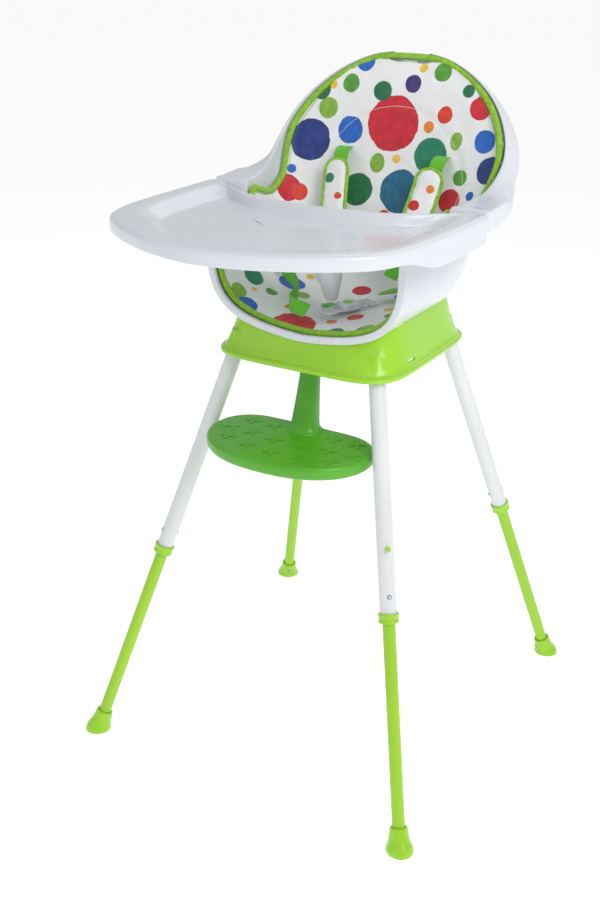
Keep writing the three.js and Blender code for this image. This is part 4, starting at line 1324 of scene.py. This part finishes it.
class BuildTray(bpy.types.Operator):
    """Moulds the tray with its recess, skirt and crotch post, and its two sprung latches"""
    bl_idname = "high_chair.tray"
    bl_label = "Tray"

    def execute(self, context):
        edge = curve(mirrored(TRAY_EDGE), 150, closed=True)
        recess = curve(mirrored(TRAY_RECESS), 150, closed=True)
        drop_floor = TRAY_TOP - TRAY_FLOOR

        def ring(share, drop, inset=0.0):
            points = []
            for p, q in zip(edge, recess):
                spot = p.lerp(q, share) + (q - p).normalized() * inset
                side = smoothstep(215, 228, abs(p.x)) * smoothstep(-270, -165, p.y)
                skirt = 20 + 21 * side
                down = skirt + drop - 100 if drop >= 90 else drop
                points.append(place(spot.x, spot.y, TRAY_TOP - down))
            return points

        def centre(scale, z):
            return [place(q.x * scale, -220 + (q.y + 220) * scale, z) for q in recess]

        hem = 100                   # a drop of 90 or more is measured from the skirt's lower edge
        rings = [centre(0.2, TRAY_FLOOR), centre(0.6, TRAY_FLOOR), centre(0.88, TRAY_FLOOR),
                 centre(0.97, TRAY_FLOOR + 0.2), ring(0.95, drop_floor - 1.2), ring(0.86, drop_floor - 5),
                 ring(0.72, 6), ring(0.6, 2.6), ring(0.48, 0.8), ring(0.36, 0.2), ring(0.15, 0),
                 ring(0, 0.2, 8), ring(0, 0.9, 3.2), ring(0, 3, 0.8), ring(0, 6.5), ring(0, 12),
                 ring(0, hem - 2.5), ring(0, hem - 0.3, 0.4), ring(0, hem, 1.5), ring(0, hem - 0.3, 2.6),
                 ring(0, hem - 3, TRAY_WALL), ring(0, 8, TRAY_WALL), ring(0, TRAY_WALL + 1, 9),
                 ring(0.45, TRAY_WALL + 1), ring(0.62, TRAY_WALL + 4),
                 ring(0.93, drop_floor + TRAY_WALL - 1), centre(0.97, TRAY_FLOOR - TRAY_WALL),
                 centre(0.2, TRAY_FLOOR - TRAY_WALL)]
        tray = loft("tray_top", rings, "white_plastic", smooth=math.radians(50))
        apply_modifiers(subdivide(tray, 1))
        give(tray, "tray", "white_plastic", "tray")
        self.post()
        for side, word in SIDES:
            self.latch(side, word)
        for spring in ("latch_spring_left", "latch_spring_right"):
            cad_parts[spring].data.materials.clear()
            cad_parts[spring].data.materials.append(material("steel"))
        return {"FINISHED"}

    def post(self):
        rings = []
        for x, y, z in curve(POST, 40):
            rings.append(superellipse(x, y, z, 2.4, 48, -42 - 0.19 * (z - 718)))
        give(loft("post", rings, "white_plastic", smooth=math.radians(60)), "tray", "white_plastic",
             "crotch_post")

    def latch(self, side, word):
        """A paddle with raised ribs for the fingers."""
        outline = curve(((-26, -9), (-20, -12), (20, -12), (26, -9), (28, 0), (26, 9), (20, 12), (-20, 12),
                         (-26, 9), (-28, 0)), 60, closed=True)
        rings = []
        for out, grow in ((208, -1.2), (208.2, -0.4), (208.9, 0), (212.1, 0), (212.8, -0.4), (213, -1.2)):
            rings.append([place(side * out, -180 + p.x * (1 + grow / 26), 850 + p.y * (1 + grow / 12))
                          for p in outline])
        pieces = [loft("paddle", rings, "white_plastic")]
        for step in (-14, -7, 0, 7, 14):
            rib = box_at("rib", (min(side * 206.9, side * 208.3), -180 + step - 1, 842),
                         (max(side * 206.9, side * 208.3), -180 + step + 1, 858), "white_plastic")
            pieces.append(apply_modifiers(bevel(rib, 0.0005, 2)))
        give(join("latch_" + word, pieces), "tray_latch_" + word, "white_plastic", "tray_latch_" + word)


# ---------------------------------------------------------------- base and footrest

# Heights with the outside's half-width and half-depth.
BASE_PROFILE = ((640, 152, 154), (640.6, 153.4, 155.4), (642, 154, 156), (645.2, 154, 156),
                (646.6, 153.2, 155.2), (647.6, 151.6, 153.4), (648.6, 149, 150.4), (650, 148.2, 149),
                (656, 146.6, 144), (662, 145, 139.5), (675, 141.5, 131.5), (690, 138.5, 126.5), (718, 133, 120))
BASE_POWER = 5.6
STEM = ((528, 27, 25), (535.6, 26, 24), (537.5, 24, 22), (541, 22, 19.5), (547, 20.8, 17.5), (560, 19.6, 16),
        (580, 18, 14.2), (613, 15.8, 12), (640, 15.2, 11.5), (670, 15, 11.2))
PLATE_EDGE = ((0, -254), (45, -250), (84, -236), (117, -208), (132, -171), (129, -136), (111, -111), (86, -99),
              (58, -96), (30, -95), (0, -92))
PLATE_TOP, PLATE_THICK = 535, 20
PLATE_MIDDLE = (0, -172)
GRIPS = ((-100, -164, 38), (-84, -128, 12), (-46, -128, 30), (-84, -198, 5), (-62, -168, 42), (-18, -174, 20),
         (-42, -212, 33), (28, -176, 8), (2, -216, 25), (48, -212, 40), (56, -128, 15), (96, -130, 36),
         (70, -168, 3), (108, -166, 28), (90, -200, 18))


def stem_y(z):
    return -99.3 + 0.17 * (z - 640)


def stem_ring(z, x, y, grow=0.0):
    return superellipse(x + grow, y + grow, z, 2.8, 72, stem_y(z))


def combine(piece, others, operation="UNION"):
    for other in others:
        modifier = piece.modifiers.new("Combine", "BOOLEAN")
        modifier.operation = operation
        modifier.solver = "EXACT"
        modifier.object = other
    apply_modifiers(piece)
    for other in others:
        bpy.data.objects.remove(other)
    return piece


def shell_cutter():
    """The space that the shell fills, grown a little, for cutting what it rests on."""
    pairs = []
    for k in range(0, 8 * 4 + 1):
        station = Station(k / 4)
        profile = offset(station.profile(), -0.4)
        outer = station.row(profile)
        inner = [outer[0].lerp(outer[-1], i / (len(outer) - 1)) + Vector((0, 0, 5 * MM))
                 for i in range(len(outer))]
        if k == 0:
            outer = [p + Vector((0, -0.4 * MM, 0)) for p in outer]
            inner = [p + Vector((0, -0.4 * MM, 0)) for p in inner]
        pairs.append((outer, inner))
    return walled("cutter", pairs, "lime_plastic", smooth=0)


class BuildBase(bpy.types.Operator):
    """Moulds the hollow base with its foot rim, leg sockets and braces"""
    bl_idname = "high_chair.base"
    bl_label = "Base"

    def execute(self, context):
        wall = context.scene.chair_base.wall / MM
        outside = [superellipse(x, y, z, BASE_POWER, 160) for z, x, y in BASE_PROFILE]
        inside = [superellipse(x - wall, y - wall, z + (0.5 if z == 718 else 0), BASE_POWER, 160)
                  for z, x, y in BASE_PROFILE[6:]]
        low = [superellipse(151, 153, z, BASE_POWER, 160) for z in (639,)]
        base = loft("seat_base", outside, "lime_plastic")
        hollow = loft("hollow", low + inside, "lime_plastic")
        parts = [box_at("brace", (-116, y - 2, 648), (116, y + 2, 672), "lime_plastic") for y in (-117, 117)]
        parts += [box_at("brace", (x - 2, -116, 654), (x + 2, 116, 672), "lime_plastic") for x in (-117, 117)]
        parts.append(box_at("link", (-4, -118, 648), (4, -106, 672), "lime_plastic"))
        parts.append(loft("socket", [stem_ring(z, 15.2, 11.5, 4.3) for z in (646, 674)], "lime_plastic"))
        for side_x, side_y, _ in LEGS:
            profile = [(0, 692), (16.5, 692), (16.5, 716), (0, 716)]
            parts.append(turned("socket", profile, "lime_plastic", leg_matrix(side_x, side_y)))
        combine(base, [hollow], "DIFFERENCE")
        combine(base, parts)
        cutters = [shell_cutter(), loft("bore", [stem_ring(600, 15.7, 12), stem_ring(670.3, 15.5, 11.7)],
                                        "lime_plastic")]
        for side_x, side_y, _ in LEGS:
            profile = [(0, 600), (12.8, 600), (12.8, 707.3), (0, 707.3)]
            cutters.append(turned("bore", profile, "lime_plastic", leg_matrix(side_x, side_y)))
        cutters.append(box_at("slot", (-200, -71, 655), (200, -51, 659), "lime_plastic"))
        combine(base, cutters, "DIFFERENCE")
        trim = box_at("trim", (-170, -170, 639.9), (170, 170, 717), "lime_plastic")
        combine(base, [trim], "INTERSECT")
        base.data.shade_smooth()
        base.data.set_sharp_from_angle(angle=math.radians(32))
        give(base, "frame", "lime_plastic", "base")
        return {"FINISHED"}


class BuildFootrest(bpy.types.Operator):
    """Moulds the footrest plate with its grip marks and its flared stem"""
    bl_idname = "high_chair.footrest"
    bl_label = "Footrest"

    def execute(self, context):
        own = context.scene.chair_base
        edge = curve(mirrored(PLATE_EDGE), 160, closed=True)
        middle = Vector(PLATE_MIDDLE)

        def ring(inset, drop):
            points = []
            for p in edge:
                spot = p + (middle - p).normalized() * inset
                points.append(place(spot.x, spot.y, PLATE_TOP - drop))
            return points

        rounding = [(8, 0), (5.4, 0.15), (3.6, 0.7), (2, 1.7), (0.9, 3), (0.2, 4.7), (0, 6.5),
                    (0.1, PLATE_THICK - 6.5), (0.9, PLATE_THICK - 3.4), (2.6, PLATE_THICK - 1.2),
                    (5, PLATE_THICK - 0.2), (8, PLATE_THICK)]
        plate = loft("footplate", [ring(a, b) for a, b in rounding], "green_plastic")
        stem = loft("stem", [stem_ring(z, x, y) for z, x, y in self.flare()], "green_plastic")
        combine(plate, [stem])
        plate.data.shade_smooth()
        plate.data.set_sharp_from_angle(angle=math.radians(40))
        give(plate, "frame", "green_plastic", "footrest")
        marks = line_object("footrest_grips", [place(x, y, PLATE_TOP) for x, y, _ in GRIPS])
        layer = marks.data.attributes.new("turn", "FLOAT", "POINT")
        for item, (_, _, turn) in zip(layer.data, GRIPS):
            item.value = math.radians(turn)
        grow(marks, tree("grip_marks", grip_marks), length=own.mark_size, thick=own.mark_size * 0.25,
             height=own.mark_height)
        give(marks, "frame", "green_plastic")
        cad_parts["footrest_screw"].data.materials.clear()
        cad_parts["footrest_screw"].data.materials.append(material("steel"))
        return {"FINISHED"}

    def flare(self):
        return [tuple(p) for p in curve(STEM, 54)]


# ---------------------------------------------------------------- legs

def leg_matrix(side_x, side_y):
    """Y runs up a leg from the floor and X faces away from the chair's middle."""
    lean = Vector((side_x * 0.249, side_y * 0.291, 0))
    up = Vector((-lean.x, -lean.y, 1)).normalized()
    out = (lean.normalized() - up * lean.normalized().dot(up)).normalized()
    across = out.cross(up)
    turn = Matrix((out, up, across)).transposed().to_4x4()
    return Matrix.Translation(place(side_x * 280, side_y * 307, 0)) @ turn


def pin(matrix, radius, low, high, height, finish, name="pin", profile=None):
    """A turned piece about the leg's outward direction, at a height along the leg."""
    across = matrix @ Matrix.Translation((0, height * MM, 0)) @ Matrix.Rotation(-math.pi / 2, 4, "Z")
    profile = profile or [(0, low), (radius, low), (radius, high), (0, high)]
    return turned(name, profile, finish, across, segments=28)


class BuildLegs(bpy.types.Operator):
    """Builds the four legs: upper and lower tubes, collars, push buttons, feet and foot screws"""
    bl_idname = "high_chair.legs"
    bl_label = "Legs"

    def execute(self, context):
        own = context.scene.chair_legs
        upper = own.upper_radius / MM
        lower = own.lower_radius / MM
        for side_x, side_y, word in LEGS:
            matrix = leg_matrix(side_x, side_y)
            self.upper(matrix, word, upper)
            self.collar(matrix, word, upper, lower)
            self.lower(matrix, word, lower)
            self.foot(matrix, word, lower)
            self.buttons(matrix, word)
            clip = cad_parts["clip_spring_" + word]
            clip.data.materials.clear()
            clip.data.materials.append(material("steel"))
        return {"FINISHED"}

    def upper(self, matrix, word, r):
        inner = r - 1.2
        profile = [(inner, 339), (inner, 706.6), (inner + 0.4, 707), (r - 0.4, 707), (r, 706.6), (r, 339.4),
                   (r - 0.4, 339), (inner, 339)]
        tube = turned("upper_tube_" + word, profile, "white_tube", matrix)
        cut(tube, [pin(matrix, 3.5, -20, 20, 373, "white_tube")])
        give(tube, "frame", "white_tube", "upper_leg_" + word)

    def collar(self, matrix, word, upper, lower):
        profile = rounded([(lower + 0.3, 334.8), (lower + 0.3, 334), (13.9, 334), (15.1, 335.2), (15.3, 337),
                           (14.7, 339.5), (14.7, 343), (15.6, 345.4), (15.7, 347.4), (15, 349),
                           (upper + 0.3, 349), (upper + 0.3, 338.7), (lower + 0.3, 338.7), (lower + 0.3, 334.8)],
                          0.8)
        give(turned("collar_" + word, profile, "lime_plastic", matrix), "frame", "lime_plastic",
             "leg_collar_" + word)

    def lower(self, matrix, word, r):
        inner = r - 1.2
        profile = [(inner, 12), (inner, 487), (r, 487), (r, 12), (inner, 12)]
        tube = turned("lower_tube_" + word, profile, "lime_tube", matrix)
        cut(tube, [pin(matrix, 3.5, -20, 20, height, "lime_tube") for height in (373, 408, 443)])
        give(tube, "lower_leg_" + word, "lime_tube", "lower_leg_" + word)

    def foot(self, matrix, word, r):
        profile = [(0, -12), (20.5, -12), (20.5, 2.6), (20.1, 4), (19.2, 6.4), (18, 9.6), (16.6, 13.4),
                   (15.4, 18), (14.5, 23), (13.9, 28), (13.6, 31.8), (13.2, 33.2), (12.2, 34), (r + 1.2, 34),
                   (r + 0.3, 33.2), (r + 0.3, 11), (0, 11)]
        foot = turned("foot_cap_" + word, profile, "lime_plastic", matrix, segments=72)
        ground = box_at("ground", (-400, -400, -60), (400, 400, 0), "lime_plastic")
        hole = pin(matrix, 3.6, -30, -r - 2.4, 21, "lime_plastic")
        cut(foot, [ground, hole])
        apply_modifiers(bevel(foot, 0.0006, 2))
        give(foot, "lower_leg_" + word, "lime_plastic", "foot_" + word)
        head = [(0, -r - 6.1), (0.9, -r - 6.5), (2.2, -r - 6.3), (2.8, -r - 5.7), (3, -r - 5), (3, -r - 2.8),
                (0, -r - 2.8)]
        screw = pin(matrix, 0, 0, 0, 21, "steel", "foot_screw_head_" + word, head)
        give(screw, "lower_leg_" + word, "steel", "foot_screw_" + word)

    def buttons(self, matrix, word):
        for side, kind in ((1, "outer"), (-1, "inner")):
            profile = [(0, side * 6), (3, side * 6), (3, side * 12.9), (2.8, side * 13.5), (2.2, side * 14.05),
                       (1.3, side * 14.35), (0, side * 14.5)]
            button = pin(matrix, 0, 0, 0, 373, "steel", f"push_button_{kind}_{word}", profile)
            give(button, f"button_{kind}_{word}", "steel", f"button_{kind}_{word}")


# ---------------------------------------------------------------- harness

SHOULDER = ((85, 158, 911), (84, 138, 909), (82, 125, 893), (78, 112, 858), (70, 92, 815), (60, 66, 768),
            (55, 52, 748), (52, 46, 740))
SLEEVE = ((82, 116, 897), (78, 103, 862), (72, 87, 826), (65, 69, 790), (60, 56, 767))
WAIST_LEFT = ((-138, 22, 768), (-116, 10, 746), (-92, -4, 731), (-72, -20, 724), (-60, -42, 721),
              (-56, -66, 719), (-46, -86, 718), (-28, -96, 717), (-10, -98, 714))
LEFT_ACROSS = ((0, 1, 0.6), (0, 0.6, 1), (0, 0, 1), (0, 0, 1), (0, 0, 1), (0, 0.2, 1), (0.3, 0.7, 0.6))
WAIST_RIGHT = ((46, 26, 719), (62, 30, 724), (88, 30, 733), (114, 28, 748), (137, 24, 768))
CROTCH = ((-22, -18, 703.5), (-14, -22, 704), (-2, -26, 705), (5, -28.5, 706))
BUCKLE_AT = (22, -30, 711)
BUCKLE_TURN = math.atan2(0.93, 0.37)


def frames_along(points, across, steps):
    """Place, direction of the width and normal at steps along a strap."""
    path = [place(*p) for p in curve(points, steps)]
    result = []
    for i, p in enumerate(path):
        tangent = (path[min(i + 1, steps)] - path[max(i - 1, 0)]).normalized()
        where = i / steps * (len(across) - 1)
        low = min(int(where), len(across) - 2)
        side = Vector(across[low]).lerp(Vector(across[low + 1]), where - low)
        side = (side - tangent * side.dot(tangent)).normalized()
        result.append((p, side, tangent.cross(side)))
    return result


def strap(name, points, across, width, thick, finish, steps=90, edge=3):
    """Flat webbing with rounded selvedges; lie holds the place across and along it."""
    section = []
    half = width / 2
    for side in (1, -1):
        for k in range(edge + 1):
            angle = math.pi * (k / edge - 0.5) * side
            section.append((side * (half - thick / 2 + thick / 2 * math.cos(angle)),
                            thick / 2 * math.sin(angle)))
    columns = 6
    outline = []
    for i, (a, b) in enumerate(zip(section, section[1:] + section[:1])):
        outline.append(a)
        if abs(a[0] - b[0]) > half:
            outline += [(a[0] + (b[0] - a[0]) * c / columns, a[1]) for c in range(1, columns)]
    rings = []
    lie = []
    along = 0.0
    spots = frames_along(points, across, steps)
    for i, (p, side, normal) in enumerate(spots):
        if i:
            along += (p - spots[i - 1][0]).length
        rings.append([p + side * u + normal * v for u, v in outline])
        lie += [(u, along, 0.0) for u, _ in outline]
    made = loft(name, rings, finish, smooth=math.radians(60))
    search = KDTree(len(lie))
    for k, p in enumerate(q for ring in rings for q in ring):
        search.insert(p, k)
    search.balance()
    settle(made, "lie", [lie[search.find(v.co)[1]] for v in made.data.vertices])
    return made


def buckle_matrix():
    return Matrix.Translation(place(*BUCKLE_AT)) @ Matrix.Rotation(BUCKLE_TURN, 4, "Z")


def plate_of(name, outline, low, high, matrix, finish, edge=0.5):
    """A bevelled plate from an outline in millimetres, between two heights in the matrix's frame."""
    rings = [[matrix @ Vector((x * MM, y * MM, z * MM)) for x, y in outline] for z in (low, high)]
    made = loft(name, rings, finish)
    apply_modifiers(bevel(made, edge * MM, 3))
    made.data.set_sharp_from_angle(angle=math.radians(50))
    return made


def corner_box(matrix, low, high):
    made = box_at("cutter", (0, 0, 0), (1, 1, 1), "white_plastic")
    corners = [(x, y, z) for x in (low[0], high[0]) for y in (low[1], high[1]) for z in (low[2], high[2])]
    for vertex, corner in zip(made.data.vertices, corners):
        vertex.co = matrix @ (Vector(corner) * MM)
    work = bmesh.new()
    work.from_mesh(made.data)
    bmesh.ops.recalc_face_normals(work, faces=work.faces)
    work.to_mesh(made.data)
    work.free()
    return made


def rounded_outline(half_x, half_y, corner, steps=6):
    points = []
    for turn, (sx, sy) in enumerate(((1, 1), (-1, 1), (-1, -1), (1, -1))):
        for k in range(steps + 1):
            angle = math.pi / 2 * (turn + k / steps)
            points.append((sx * (half_x - corner) + corner * math.cos(angle),
                           sy * (half_y - corner) + corner * math.sin(angle)))
    return points


class BuildHarness(bpy.types.Operator):
    """Makes the five-point harness: webbing, shoulder pads, buckle, tongues and adjusters"""
    bl_idname = "high_chair.harness"
    bl_label = "Harness"

    def execute(self, context):
        own = context.scene.chair_harness
        for side, word in SIDES:
            self.shoulder(side, word, own)
        self.waist(own)
        self.buckle()
        return {"FINISHED"}

    def shoulder(self, side, word, own):
        path = [(side * x, y, z) for x, y, z in SHOULDER]
        web = strap("shoulder_webbing_" + word, path, ((1, 0, 0), (1, 0, 0)), own.width, own.thickness,
                    "webbing")
        give(web, "frame", "webbing", "shoulder_strap_" + word)
        sleeve = [(side * x, y, z) for x, y, z in SLEEVE]
        across = ((1, 0.1 * side, 0), (1, 0.1 * side, 0))
        spots = frames_along(sleeve, across, 40)
        rings = []
        loop_left, loop_right = [], []
        for i, (p, wide, normal) in enumerate(spots):
            share = i / 40
            end = min(share, 1 - share) / 0.14
            round_off = math.sqrt(max(1 - (1 - min(end, 1)) ** 2, 0.0)) * 0.82 + 0.18
            half = 0.0215 * round_off
            ring = []
            for k in range(28):
                angle = 2 * math.pi * k / 28
                c, s = math.cos(angle), math.sin(angle)
                ring.append(p + wide * math.copysign(half * abs(c) ** 0.6, c)
                            + normal * math.copysign(0.0036 * abs(s) ** 0.8, s))
            rings.append(ring)
            loop_left.append(p - wide * half)
            loop_right.append(p + wide * half)
        pad = loft("shoulder_cushion_" + word, rings, "pad_cloth", smooth=0)
        swell(pad, 0.0032, 3.0, lambda p: 0.0014)
        apply_modifiers(subdivide(pad, 1))
        for vertex in pad.data.vertices:
            vertex.co += vertex.normal * noise.noise(vertex.co / 0.02) * 0.0005
        middle = place(0, 90, 820)
        settle(pad, "lie", [((v.co - middle).x, (v.co - middle).z, 1.0) for v in pad.data.vertices])
        pad.data.shade_smooth()
        give(pad, "frame", "liner_fabric", "shoulder_pad_" + word)
        loop = smooth_line(even(loop_left + list(reversed(loop_right)) + [loop_left[0]], 150)[:-1], 2)
        facing = [spots[min(i, 40)][2] for i in range(len(loop))]
        sides = [facing[0]] * len(loop)
        piping = tube_round("shoulder_piping_" + word, loop, sides, 0.0026, 0.0026, "piping_cloth", count=10)
        give(piping, "frame", "liner_fabric")

    def waist(self, own):
        left = strap("waist_webbing_left", WAIST_LEFT, LEFT_ACROSS, 0.022, own.thickness,
                     "webbing", steps=120)
        give(left, "frame", "webbing", "waist_strap_left")
        right = strap("waist_webbing_right", WAIST_RIGHT, ((0, 1, 0), (0, 1, 0.5)), 0.022, own.thickness,
                      "webbing")
        give(right, "frame", "webbing", "waist_strap_right")
        crotch = strap("crotch_webbing", CROTCH, ((0.3, 1, 0), (0.3, 1, 0)), 0.020, own.thickness, "webbing",
                       steps=30)
        give(crotch, "frame", "webbing", "crotch_strap")

    def buckle(self):
        matrix = buckle_matrix()
        rings = []
        outline = rounded_outline(17, 14, 6, steps=10)
        for z, inset in ((-5.5, 1.6), (-5.2, 0.7), (-4.4, 0), (2.6, 0), (4.2, 0.7), (5.1, 2), (5.5, 4)):
            rings.append([matrix @ Vector((x * (1 - inset / 17) * MM, y * (1 - inset / 14) * MM, z * MM))
                          for x, y in outline])
        housing = loft("buckle_housing", rings, "white_plastic", smooth=math.radians(50))
        well = turned("well", [(0, 1), (7.4, 1), (7.4, 10), (0, 10)], "white_plastic",
                      matrix @ Matrix.Rotation(math.pi / 2, 4, "X"))
        cutters = [corner_box(matrix, (side * 17 - 10, -6.5, -4.2), (side * 17 + 10, 6.5, -0.8))
                   for side, _ in SIDES]
        cut(housing, cutters + [well])
        give(housing, "frame", "white_plastic", "buckle_body")
        upright = matrix @ Matrix.Translation((0, 0, 3.7 * MM)) @ Matrix.Rotation(math.pi / 2, 4, "X")
        profile = [(0, 0), (7, 0), (7, 2.3), (6.7, 3), (6, 3.4), (4.6, 3.3), (4.2, 3.05), (3.4, 3.05), (3, 3.3),
                   (0, 3.6)]
        button = turned("buckle_press_button", profile, "lime_plastic", upright)
        give(button, "buckle_button", "lime_plastic", "buckle_button")
        for side, word in SIDES:
            self.tongue(matrix, side, word)

    def tongue(self, matrix, side, word):
        outline = [(8, -5.8), (18, -5.8), (18, -13), (29, -13), (29, 13), (18, 13), (18, 5.8), (8, 5.8)]
        outline = [(side * x, y) for x, y in outline]
        blade = plate_of("harness_tongue_" + word, outline, -3.8, -1.2, matrix, "white_plastic", 0.4)
        near, far = sorted((side * 23, side * 26))
        cut(blade, [corner_box(matrix, (near, -10.5, -6), (far, 10.5, 2))])
        give(blade, "frame", "white_plastic", "tongue_" + word)
        middle = side * 41
        outline = [(middle + x, y) for x, y in rounded_outline(9, 15, 2.4)]
        glide = plate_of("harness_adjuster_" + word, outline, -3.6, -1.2, matrix, "white_plastic", 0.5)
        cutters = [corner_box(matrix, (middle - 6.5, -12.5, -6), (middle - 2.7, 12.5, 2)),
                   corner_box(matrix, (middle + 1.5, -12.2, -6), (middle + 5.3, 12.2, 2))]
        cut(glide, cutters)
        give(glide, "frame", "white_plastic", "strap_adjuster_" + word)


# ---------------------------------------------------------------- stage

class BuildStage(bpy.types.Operator):
    """Sets up the pale floor, the soft lights and the camera"""
    bl_idname = "high_chair.stage"
    bl_label = "Stage"

    def execute(self, context):
        own = context.scene.chair_stage
        scene = context.scene
        scene.view_settings.view_transform = "Standard"
        bpy.ops.mesh.primitive_plane_add(size=60)
        floor = context.object
        floor.name = "studio_floor"
        shader = Shader("floor")
        clouds = shader.noise(shader.coordinates(), 0.8, 2.0)
        shader.set(Base_Color=shader.mix(clouds, rgba(own.floor, 0.995), rgba(own.floor)))
        shader.set(Roughness=0.8, Specular_IOR_Level=0.1)
        shader.set(Emission_Color=rgba(own.floor), Emission_Strength=own.glow)
        floor.data.materials.append(shader.material)
        world = bpy.data.worlds.new("studio")
        scene.world = world
        world.use_nodes = True
        backdrop = world.node_tree.nodes["Background"]
        backdrop.inputs["Color"].default_value = (1, 1, 1, 1)
        backdrop.inputs["Strength"].default_value = 0.55
        self.light("key", (1.9, -0.9, 2.3), 1.6, own.key, (0.1, 0, 0.75))
        self.light("fill", (-2.0, -1.8, 1.9), 2.0, own.key * 0.14, (0, 0, 0.7))
        self.light("back", (-0.4, 2.2, 2.2), 1.8, own.key * 0.2, (0, 0, 0.9))
        camera = bpy.data.objects.new("camera", bpy.data.cameras.new("camera"))
        scene.collection.objects.link(camera)
        camera.data.lens = own.lens
        camera.data.sensor_width = 36
        camera.matrix_world = (Matrix.Translation((0.8363, -1.5272, 1.2325))
                               @ Matrix.Rotation(own.azimuth, 4, "Z")
                               @ Matrix.Rotation(math.pi / 2 - own.elevation, 4, "X")
                               @ Matrix.Rotation(own.roll, 4, "Z"))
        scene.camera = camera
        return {"FINISHED"}

    def light(self, name, where, size, power, target):
        lamp = bpy.data.lights.new(name, "AREA")
        lamp.shape = "DISK"
        lamp.size = size
        lamp.energy = power
        made = bpy.data.objects.new(name, lamp)
        bpy.context.scene.collection.objects.link(made)
        made.location = where
        made.rotation_euler = (Vector(target) - Vector(where)).to_track_quat("-Z", "Y").to_euler()


# ---------------------------------------------------------------- add-on

class HighChairPanel(bpy.types.Panel):
    bl_idname = "VIEW3D_PT_high_chair"
    bl_label = "High Chair"
    bl_space_type = "VIEW_3D"
    bl_region_type = "UI"
    bl_category = "High Chair"

    def draw(self, context):
        for operator in OPERATORS:
            self.layout.operator(operator.bl_idname)
        for name, _ in GROUPS:
            group = getattr(context.scene, name)
            for key in group.__annotations__:
                self.layout.prop(group, key)


OPERATORS = (BuildStage, BuildShell, BuildLiner, BuildTray, BuildBase, BuildFootrest, BuildLegs, BuildHarness)


def register():
    for name, group in GROUPS:
        bpy.utils.register_class(group)
        setattr(bpy.types.Scene, name, PointerProperty(type=group))
    for cls in (*OPERATORS, HighChairPanel):
        bpy.utils.register_class(cls)


def unregister():
    for cls in reversed((*OPERATORS, HighChairPanel)):
        bpy.utils.unregister_class(cls)
    for name, group in reversed(GROUPS):
        delattr(bpy.types.Scene, name)
        bpy.utils.unregister_class(group)


def main():
    register()
    bpy.ops.high_chair.stage()
    bpy.ops.high_chair.shell()
    bpy.ops.high_chair.liner()
    bpy.ops.high_chair.tray()
    bpy.ops.high_chair.base()
    bpy.ops.high_chair.footrest()
    bpy.ops.high_chair.legs()
    bpy.ops.high_chair.harness()


if __name__ == "__main__":
    main()
